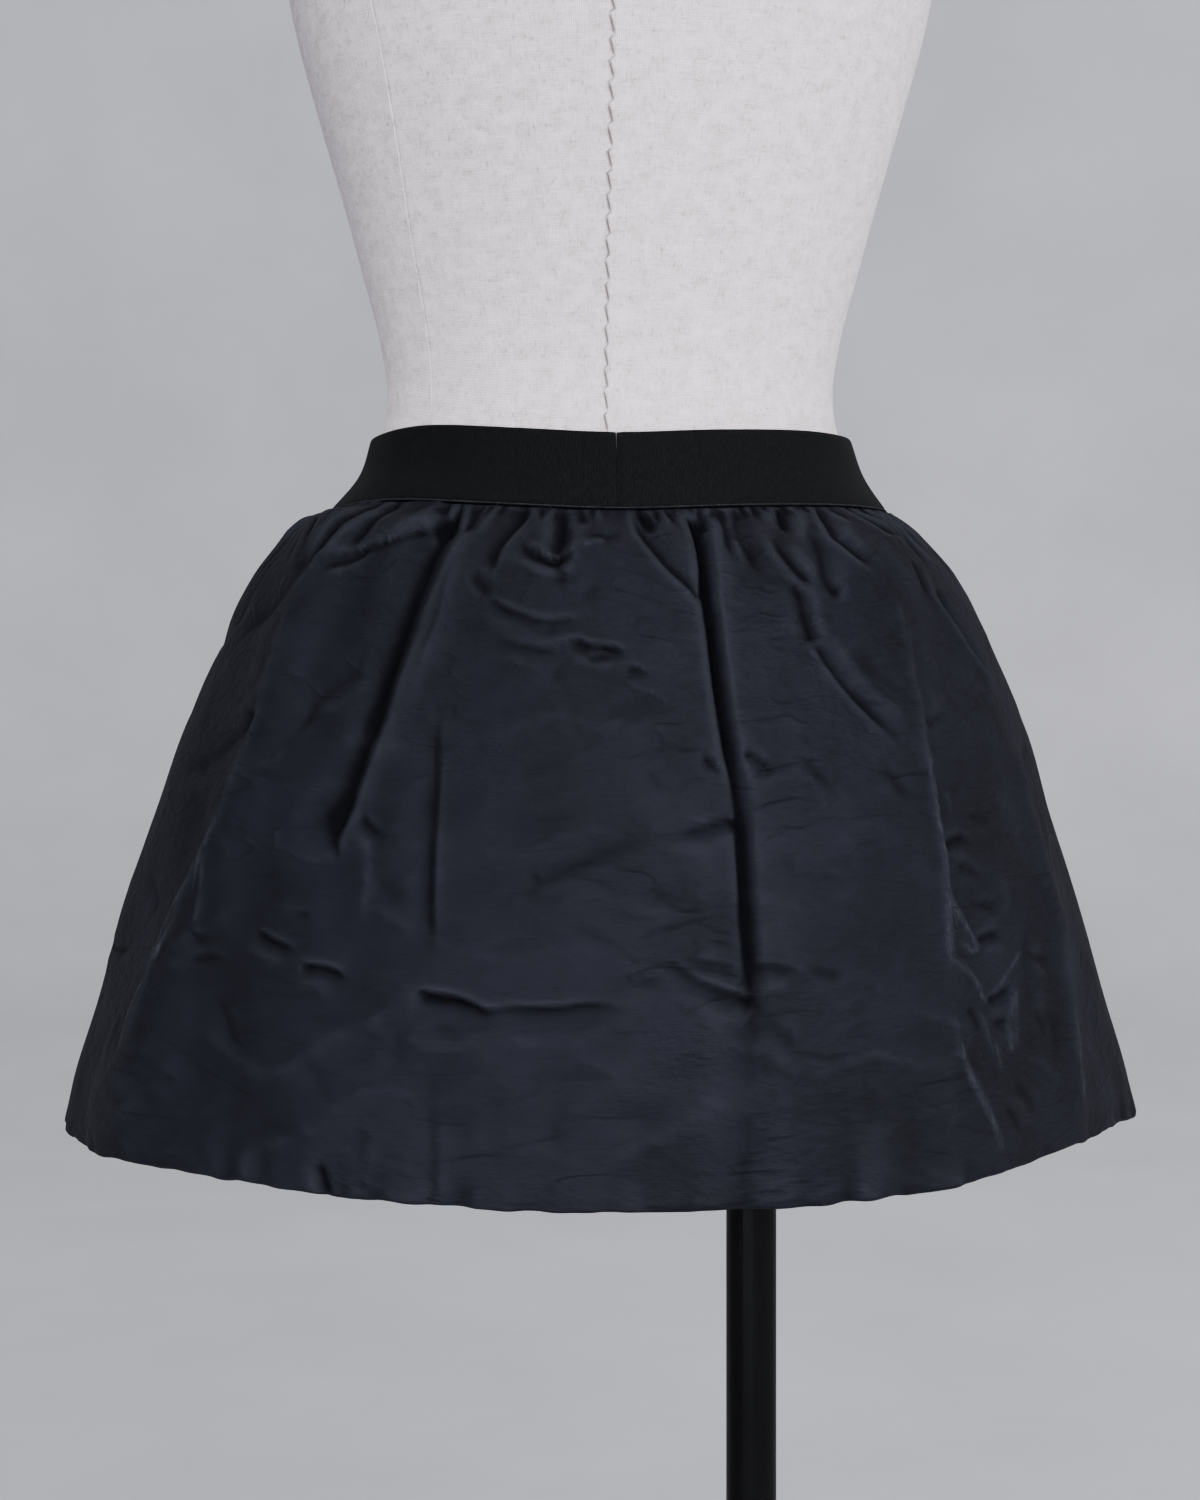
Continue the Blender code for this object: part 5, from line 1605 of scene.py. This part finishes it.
@dataclass
class ElasticBand:
    """The wide waistband: one strip of elastic joined edge to edge at the centre back."""

    join_angle: float = 1.2
    columns: int = 420
    thickness: float = 0.0019
    levels: tuple[tuple[float, float, float, float, float], ...] = (
        (0.00, 0.1448, 0.1428, 0.1068, 0.1083),
        (0.45, 0.1305, 0.1312, 0.1005, 0.1040),
        (1.00, 0.1232, 0.1238, 0.0955, 0.1000),
    )
    selvedge: float = 0.0011
    join_gap: float = 0.0001
    back_radius: float = 0.107
    flat_radius: float = 0.125

    def outer_wall(self, angle: np.ndarray, share: np.ndarray, inwards: np.ndarray) -> np.ndarray:
        """Points of the band.

        Args:
            angle: Angles in radians.
            share: Share of the band's height.
            inwards: How far inside its outer face, in metres.

        Returns:
            Points, with their coordinates last.
        """
        shares, *sizes = zip(*self.levels)
        left, right, back, front = (smooth_table(shares, size, share) for size in sizes)
        sine, cosine = np.sin(angle), np.cos(angle)
        half = (right + left) / 2 + (right - left) / 2 * sine - inwards
        depth = (back + front) / 2 + (back - front) / 2 * cosine - inwards
        low = WAIST_SEAM_Z + SEAM_GAP
        height = low + (BAND_TOP_Z - low) * share + waves(WAIST_WAVES, angle)
        return np.stack([half * sine, -depth * cosine, height], axis=-1)

    def profile(self) -> list[tuple[float, float]]:
        """Lays out the strip's section, round from its lowest outer edge.

        Returns:
            Its points as (share of height, metres inwards).
        """
        t = self.thickness
        edge = self.selvedge / (BAND_TOP_Z - WAIST_SEAM_Z)
        outside = [(0.000, t * 0.55), (0.004, t * 0.15), (edge * 0.5, -0.00012)]
        outside += [(edge, 0.00008), (edge * 1.25, 0.00034), (edge * 1.6, 0.0001)]
        outside += [(s, 0.0) for s in np.linspace(edge * 2.2, 0.935, 22)]
        outside += [(0.955, 0.00002), (0.972, 0.0001), (0.988, t * 0.2), (0.998, t * 0.42)]
        inside = [(1.0, t * 0.62), (0.990, t * 0.9), (0.96, t)]
        inside += [(s, t) for s in np.linspace(0.90, 0.06, 10)]
        return outside + inside + [(0.012, t), (0.000, t * 0.8)]

    def build(self) -> bpy.types.Object:
        """Builds the band as one closed strip.

        Returns:
            The band's object.
        """
        join = math.radians(self.join_angle)
        half_gap = self.join_gap / 2 / self.back_radius
        angles = np.linspace(join + half_gap, join + 2 * math.pi - half_gap, self.columns)
        section = self.profile()
        section.append(section[0])
        shares, depths = (np.array(part) for part in zip(*section))
        angle, share = np.meshgrid(angles, shares)
        inwards = np.repeat(depths[:, None], self.columns, axis=1)
        wave = ClothNoise(21).smooth(angle * 0.12 / 0.03, share * 1.6 + 2) * 0.00035
        # The two ends turn in at the join and part a little at its top
        from_join = np.minimum(angle - angles[0], angles[-1] - angle) * 0.1
        turned_in = 0.0005 * np.exp(-((from_join / 0.0009) ** 1.5))
        inwards = inwards + np.where(inwards < self.thickness * 0.5, wave + turned_in, 0)
        parted = np.exp(-((from_join / 0.0014) ** 1.5)) * eased((share - 0.5) / 0.5)
        points = self.outer_wall(angle, share - 0.008 * parted, inwards)
        steps = [abs(b - a) * 0.038 + 0.0002 for a, b in zip(shares, shares[1:])]
        across, down = np.meshgrid(angles * self.flat_radius, np.cumsum([0] + steps))
        band = woven_sheet("waistband_elastic", points, np.stack([across, down], axis=-1))
        close_shell(band, merge=1e-5)
        return band

    def dress(self, finish: bpy.types.Material) -> bpy.types.Object:
        """Builds the band, gives it its finish and places it in the frame.

        Args:
            finish: The elastic's material.

        Returns:
            The band's object.
        """
        band = self.build()
        band.data.materials.append(finish)
        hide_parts("waistband")
        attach(band, "root")
        return band


class FormSection(NamedTuple):
    """Half sizes of the dress form at one height."""

    height: float
    half_width: float
    back: float
    front: float


FORM_SECTIONS = tuple(FormSection(*row) for row in (
    (0.75, 0.138, 0.094, 0.086),
    (0.753, 0.147, 0.101, 0.092),
    (0.762, 0.1565, 0.108, 0.098),
    (0.78, 0.163, 0.114, 0.103),
    (0.805, 0.1652, 0.118, 0.106),
    (0.835, 0.163, 0.1185, 0.107),
    (0.87, 0.1565, 0.115, 0.105),
    (0.905, 0.148, 0.109, 0.102),
    (0.932, 0.1415, 0.1035, 0.1005),
    (0.9522, 0.135, 0.098, 0.099),
    (0.972, 0.1262, 0.0925, 0.096),
    (0.992, 0.1175, 0.088, 0.0925),
    (1.012, 0.1148, 0.086, 0.0905),
    (1.04, 0.1185, 0.087, 0.092),
    (1.08, 0.129, 0.0925, 0.098),
    (1.12, 0.14, 0.0985, 0.105),
    (1.16, 0.1515, 0.1035, 0.112),
    (1.2, 0.162, 0.106, 0.115),
    (1.235, 0.169, 0.105, 0.11),
    (1.27, 0.174, 0.1, 0.098),
    (1.3, 0.179, 0.09, 0.083),
    (1.322, 0.18, 0.079, 0.069),
    (1.338, 0.17, 0.069, 0.059),
    (1.352, 0.14, 0.06, 0.054),
    (1.364, 0.105, 0.053, 0.053),
    (1.374, 0.078, 0.048, 0.055),
    (1.384, 0.062, 0.044, 0.058),
    (1.398, 0.056, 0.041, 0.06),
    (1.42, 0.055, 0.039, 0.061),
))


class FormSeam(NamedTuple):
    """A seam of the linen cover: its degrees at five heights, and whether it is hand sewn."""

    low: float
    hip: float
    waist: float
    bust: float
    neck: float
    hand_sewn: bool = False


class FormColumn(NamedTuple):
    """A column of the form's body: its angles, how deep it lies in a seam and how dark it is."""

    angles: np.ndarray
    depth: np.ndarray | float = 0.0
    shade: np.ndarray | float = 0.0


SEAM_HEIGHTS = (0.750, 0.860, 1.012, 1.190, 1.420)
FORM_SEAMS = (
    FormSeam(-1.2, -1.2, -1.2, 0.2, 0.0, True),
    FormSeam(44, 44, 52, 50, 62),
    FormSeam(90, 90, 90, 90, 90),
    FormSeam(138, 138, 133, 142, 128),
    FormSeam(180, 180, 180, 180, 180),
    FormSeam(222, 222, 227, 218, 232),
    FormSeam(270, 270, 270, 270, 270),
    FormSeam(316, 316, 310, 314, 298),
)


@dataclass
class DressForm:
    """The limbless form: padded body in linen, flat at the shoulders, seamed as it is cut."""

    sections: tuple[FormSection, ...] = FORM_SECTIONS
    seams: tuple[FormSeam, ...] = FORM_SEAMS
    bust_x: float = 0.078
    bust_z: float = 1.196
    bust_spread: tuple[float, float] = (0.050, 0.062)
    bust_height: float = 0.016
    arm_cut_x: float = 0.1660
    arm_cut_z: float = 1.290
    arm_cut_tilt: float = 4.0
    between: int = 11
    beside: tuple[float, ...] = (0.0004, 0.0010, 0.0022, 0.0050)
    groove: float = 0.0009
    stitch_pitch: float = 0.0104
    stitch_slant: float = 0.0022
    rough_radius: float = 0.115
    flat_radius: float = 0.125

    def surface(self, angle: np.ndarray, height: np.ndarray) -> np.ndarray:
        """Points of the form before its seams.

        Args:
            angle: Angles in radians from the centre back.
            height: Heights in metres.

        Returns:
            Points, with their coordinates last.
        """
        heights = [s.height for s in self.sections]
        half, back, front = (
            smooth_table(heights, [getattr(s, name) for s in self.sections], height)
            for name in ("half_width", "back", "front")
        )
        sine, cosine = np.sin(angle), np.cos(angle)
        x = half * sine
        y = np.where(cosine > 0, -back * cosine, -front * cosine)
        for side in (-1, 1):
            across = (x - side * self.bust_x) / self.bust_spread[0]
            up = (height - self.bust_z) / self.bust_spread[1]
            swelling = self.bust_height * -cosine * np.exp(-(across**2) - up**2)
            y = y + np.where(cosine < 0, swelling, 0)
        return np.stack([x, y, height + 0 * x], axis=-1)

    def heights(self) -> np.ndarray:
        """Spaces the rings, closest together where the form shows over the elastic.

        Returns:
            Their heights in metres.
        """
        low = [0.750, 0.7508, 0.7530, 0.7575, *np.linspace(0.763, 0.980, 30)]
        middle, high = np.linspace(0.9825, 1.262, 140), np.linspace(1.268, 1.420, 46)
        return np.concatenate([low, middle, high])

    def seam_angles(self, height: np.ndarray) -> list[np.ndarray]:
        """Each seam's angle in radians at some heights."""
        return [np.radians(smooth_table(SEAM_HEIGHTS, seam[:5], height)) for seam in self.seams]

    def seam_columns(self, height: np.ndarray) -> list[FormColumn]:
        """Lays out the columns from the centre back round, close together beside each seam.

        Args:
            height: The rings' heights in metres.

        Returns:
            The columns, the first one again at the end.
        """
        lines = self.seam_angles(height)
        lines.append(lines[0] + 2 * math.pi)
        beat = (height / self.stitch_pitch) % 1.0
        stitch = eased(np.sin(math.pi * beat) * 1.4)
        lean = self.stitch_slant * (0.5 - beat) / self.rough_radius
        edge = self.beside[-1] / self.rough_radius
        made: list[FormColumn] = []
        for k, seam in enumerate(self.seams):
            sewn, next_sewn = seam.hand_sewn, self.seams[(k + 1) % len(self.seams)].hand_sewn
            line, after = lines[k] + sewn * lean, lines[k + 1] + next_sewn * lean
            groove = self.groove * (0.35 + 0.65 * stitch if sewn else 0.6)
            made.append(FormColumn(line, groove, 0.15 + 0.80 * stitch if sewn else 0.16))
            for away in self.beside:
                nearest = away < 0.0006
                depth = groove * 0.35 - 0.0002 if nearest else self.swell(away)
                dark = (0.85 if nearest else 0.1) * (sewn and away < 0.0012)
                made.append(FormColumn(line + away / self.rough_radius, depth, stitch * dark))
            first, last = line + edge, lines[k + 1] - edge
            for j in range(1, self.between):
                made.append(FormColumn(first + (last - first) * j / self.between))
            for away in reversed(self.beside):
                dark = 0.6 * (next_sewn and away < 0.0006)
                column = after - away / self.rough_radius
                made.append(FormColumn(column, self.swell(away), stitch * dark))
        made.append(made[0]._replace(angles=made[0].angles + 2 * math.pi))
        return made

    def swell(self, away: float) -> float:
        """How deep the linen lies beside a seam: it swells a little, so the depth is negative."""
        return -0.00028 * math.exp(-away / 0.002)

    def build(self) -> bpy.types.Object:
        """Builds the body as a closed loft whose columns follow the seams.

        Returns:
            The body's object.
        """
        height = self.heights()
        angle, depth, shade = (
            np.stack([np.broadcast_to(value, height.shape) for value in values], axis=1)
            for values in zip(*self.seam_columns(height))
        )
        up = np.repeat(height[:, None], angle.shape[1], axis=1)
        points = self.surface(angle, up)
        outwards = points * (1, 1, 0)
        outwards /= np.linalg.norm(outwards, axis=-1, keepdims=True)
        soft = ClothNoise(5).smooth(angle * 0.12 / 0.05, up / 0.05) * 0.0003
        points = points - outwards * (depth + soft)[..., None]
        points[:, -1] = points[:, 0]
        metres = np.stack([angle * self.flat_radius, up], axis=-1)
        body = woven_sheet("form_linen_body", points, metres)
        stored = body.data.attributes.new("seam_shade", "FLOAT", "POINT")
        stored.data.foreach_set("value", shade.astype(np.float32).ravel())
        close_shell(body, merge=1e-6, smooth_angle=40)
        self.cut_shoulders(body)
        return body

    def cut_shoulders(self, body: bpy.types.Object) -> None:
        """Cuts the body flat where its arm boards sit.

        Args:
            body: The body's object.
        """
        make_active(body)
        tilt = math.radians(self.arm_cut_tilt)
        bpy.ops.object.mode_set(mode="EDIT")
        for side in (-1, 1):
            bpy.ops.mesh.select_all(action="SELECT")
            bpy.ops.mesh.bisect(
                plane_co=(side * self.arm_cut_x, 0.0, self.arm_cut_z),
                plane_no=(side * math.cos(tilt), 0.0, math.sin(tilt)),
                use_fill=True,
                clear_outer=True,
            )
        bpy.ops.mesh.select_all(action="SELECT")
        bpy.ops.mesh.normals_make_consistent(inside=False)
        bpy.ops.object.mode_set(mode="OBJECT")
        bpy.ops.object.shade_smooth_by_angle(angle=math.radians(40))

    def dress(
        self,
        linen: bpy.types.Material,
        boards: bpy.types.Material,
        beech: bpy.types.Material,
        nodes: dict,
    ) -> bpy.types.Object:
        """Builds the body and dresses the boards and the neck cap that the frame already has.

        Args:
            linen: The body's finish.
            boards: The arm boards' finish.
            beech: The neck cap's finish.
            nodes: The frame's CAD nodes by name.

        Returns:
            The body's object.
        """
        body = self.build()
        body.data.materials.append(linen)
        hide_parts("form_torso")
        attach(body, "root")
        for name in ("arm_board_left", "arm_board_right"):
            nodes[name].material_slots[0].material = boards
        nodes["neck_cap"].material_slots[0].material = beech
        return body


@dataclass
class Stand:
    """The painted stand: base plate, collar, pole and socket, as the frame has them."""

    pieces: tuple[str, ...] = ("base_plate", "pole_collar", "pole", "form_socket")

    def dress(self, paint: bpy.types.Material, nodes: dict) -> None:
        """Paints the stand.

        Args:
            paint: The paint.
            nodes: The frame's CAD nodes by name.
        """
        for name in self.pieces:
            nodes[name].material_slots[0].material = paint


class Lamp(NamedTuple):
    """A soft studio lamp. Its spread is what its grid lets through, in degrees."""

    name: str
    place: tuple[float, float, float]
    aim: tuple[float, float, float]
    size: tuple[float, float]
    watts: float
    colour: tuple[float, float, float]
    spread: float = 180.0


@dataclass
class Studio:
    """The round pale room, its lamps and the camera."""

    radius: float = 5.6
    cove: float = 1.6
    wall_top: float = 5.0
    air_colour: tuple[float, float, float] = (0.90, 0.93, 1.0)
    air_strength: float = 0.28
    lamps: tuple[Lamp, ...] = (
        Lamp("window", (1.45, -3.3, 2.1), (0, 0, 0.88), (2.4, 2.2), 258, (0.95, 0.96, 1)),
        Lamp("window_beside", (3.4, -1.2, 1), (0, 0, 1.15), (1.6, 1.6), 52, (0.97, 0.97, 1)),
        Lamp(
            "far_window",
            (-1.1, -3.3, 0.50),
            (-0.17, -0.15, 0.67),
            (0.4, 0.3),
            1.15,
            (0.93, 0.96, 1),
            15,
        ),
        Lamp("overhead", (-0.9, -1.7, 3.7), (0, 0, 0.75), (1.6, 1.6), 70, (0.97, 0.98, 1)),
        Lamp("wall_wash", (0.9, 1.4, 4.4), (0.9, 5.6, 1), (5, 1.2), 165, (0.97, 0.97, 1)),
    )
    camera_place: tuple[float, float, float] = (-0.0052, -1.254, 0.908)
    focal_pixels: float = 2425.0
    image: tuple[int, int] = (1200, 1500)
    horizon_row: float = 599.0

    def floor(self, plaster: bpy.types.Material) -> bpy.types.Object:
        """Builds the floor and the wall as one turned sheet.

        Args:
            plaster: Their finish.

        Returns:
            The sheet's object.
        """
        turns = np.linspace(0, math.pi / 2, 14)
        profile = [(0.02, 0.0), (1.0, 0.0), (self.radius - self.cove, 0.0)]
        for t in turns[1:]:
            reach = self.radius - self.cove * (1 - math.sin(t))
            profile.append((reach, self.cove * (1 - math.cos(t))))
        profile.append((self.radius, self.wall_top))
        rounds = [(math.cos(a), math.sin(a)) for a in np.linspace(0, 2 * math.pi, 97)]
        points = np.array([[(r * c, r * s, z) for c, s in rounds] for r, z in profile])
        room = woven_sheet("studio_room", points, points[..., :2])
        room.data.shade_smooth()
        room.data.materials.append(plaster)
        return room

    def light(self) -> None:
        """Adds the lamps and the even light of the room."""
        for lamp in self.lamps:
            data = bpy.data.lights.new(lamp.name, "AREA")
            data.shape = "RECTANGLE"
            data.size, data.size_y = lamp.size
            data.energy = lamp.watts
            data.color = lamp.colour
            data.spread = math.radians(lamp.spread)
            holder = bpy.data.objects.new(lamp.name, data)
            bpy.context.scene.collection.objects.link(holder)
            holder.location = lamp.place
            facing = Vector(lamp.aim) - Vector(lamp.place)
            holder.rotation_euler = facing.to_track_quat("-Z", "Y").to_euler()
        world = bpy.data.worlds.new("studio_air")
        world.use_nodes = True
        air = world.node_tree.nodes["Background"]
        air.inputs["Color"].default_value = (*self.air_colour, 1.0)
        air.inputs["Strength"].default_value = self.air_strength
        bpy.context.scene.world = world

    def camera(self) -> bpy.types.Object:
        """Places the camera as the photograph was taken.

        Returns:
            The camera.
        """
        height = self.image[1]
        data = bpy.data.cameras.new("photo_camera")
        data.sensor_fit = "AUTO"
        data.sensor_width = 36.0
        data.lens = self.focal_pixels / height * data.sensor_width
        data.shift_y = -(height / 2 - self.horizon_row) / height
        data.clip_end = 40.0
        holder = bpy.data.objects.new("photo_camera", data)
        bpy.context.scene.collection.objects.link(holder)
        holder.location = self.camera_place
        holder.rotation_euler = (math.pi / 2, 0.0, 0.0)
        bpy.context.scene.camera = holder
        return holder


def hidden_gathers(seed: int, count: int) -> list[Gather]:
    """Gathers for the side that the photograph doesn't show, as uneven as those that it does.

    Args:
        seed: Seed of the unevenness.
        count: How many there are.

    Returns:
        The gathers, from one side seam to the other.
    """
    dice = random.Random(seed)
    shares = [dice.uniform(0.45, 1.6) for _ in range(count)]
    made, reached = [], 0.0
    for share in shares:
        reached += share
        angle = 90 + 180 * (reached - share / 2) / sum(shares)
        long = dice.random() < 0.35
        length = dice.uniform(22, 46) if long else dice.uniform(5, 14)
        depth = dice.uniform(3.4, 5.0) if long else dice.uniform(2.0, 3.2)
        lean = dice.uniform(-3, 3) * (1.0 if long else 0.4)
        made.append(Gather(angle, lean, length, depth, depth * 0.58))
    return made


def hidden_creases(seed: int, count: int) -> list[Crease]:
    """Short creases for the side that the photograph doesn't show.

    Args:
        seed: Seed of their places.
        count: How many there are.

    Returns:
        The creases.
    """
    dice = random.Random(seed)
    made = []
    for _ in range(count):
        angle, drop = dice.uniform(98, 262), dice.uniform(45, 285)
        turn, length = dice.uniform(-0.5, 0.5), dice.uniform(18, 62)
        if dice.random() < 0.3:
            turn += math.pi / 2 * dice.choice((-1, 1))
        bend = dice.uniform(-6, 6)
        path = []
        for share in (-0.5, 0.0, 0.5):
            run, bow = share * length, bend * (1 - 4 * share * share)
            side = math.cos(turn) * run - math.sin(turn) * bow
            fall = math.sin(turn) * run + math.cos(turn) * bow
            path.append((angle + math.degrees(side / 215), drop + fall))
        depth, reach = dice.uniform(0.8, 2.0), dice.uniform(1.5, 2.6)
        fades = (dice.uniform(0.3, 0.5), dice.uniform(0.3, 0.5))
        depths, reaches = (depth, depth * 0.8), (reach * 2.4, reach)
        made.append(Crease(tuple(path), depths, reaches, (1.4, 1.3), 0.2, fades))
    return made


def report(piece: bpy.types.Object) -> None:
    """Logs a piece's name and how many triangles it has."""
    log.info("%s: %d triangles", piece.name, sum(len(p.vertices) - 2 for p in piece.data.polygons))


def main() -> None:
    """Loads the frame, dresses every piece and lights it."""
    logging.basicConfig(level=logging.INFO, format="%(name)s: %(message)s")
    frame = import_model()
    nodes = frame["nodes"]
    taffeta = TaffetaFinish().material()
    form = SkirtForm()
    back = PanelCloth(Panel.BACK, form, BACK_GATHERS, BACK_CREASES, ClothNoise(3)).dress(taffeta)
    front = PanelCloth(
        Panel.FRONT, form, hidden_gathers(19, 44), hidden_creases(23, 46), ClothNoise(4), columns=380
    ).dress(taffeta)
    for cloth in (back, front):
        report(cloth)
    report(ElasticBand().dress(ElasticFinish().material()))
    linen, boards = LinenFinish().material(), BoardLinenFinish().material()
    report(DressForm().dress(linen, boards, BeechFinish().material(), nodes))
    Stand().dress(StandPaintFinish().material(), nodes)
    studio = Studio()
    studio.floor(PlasterFinish().material())
    studio.light()
    studio.camera()


if __name__ == "__main__":
    main()
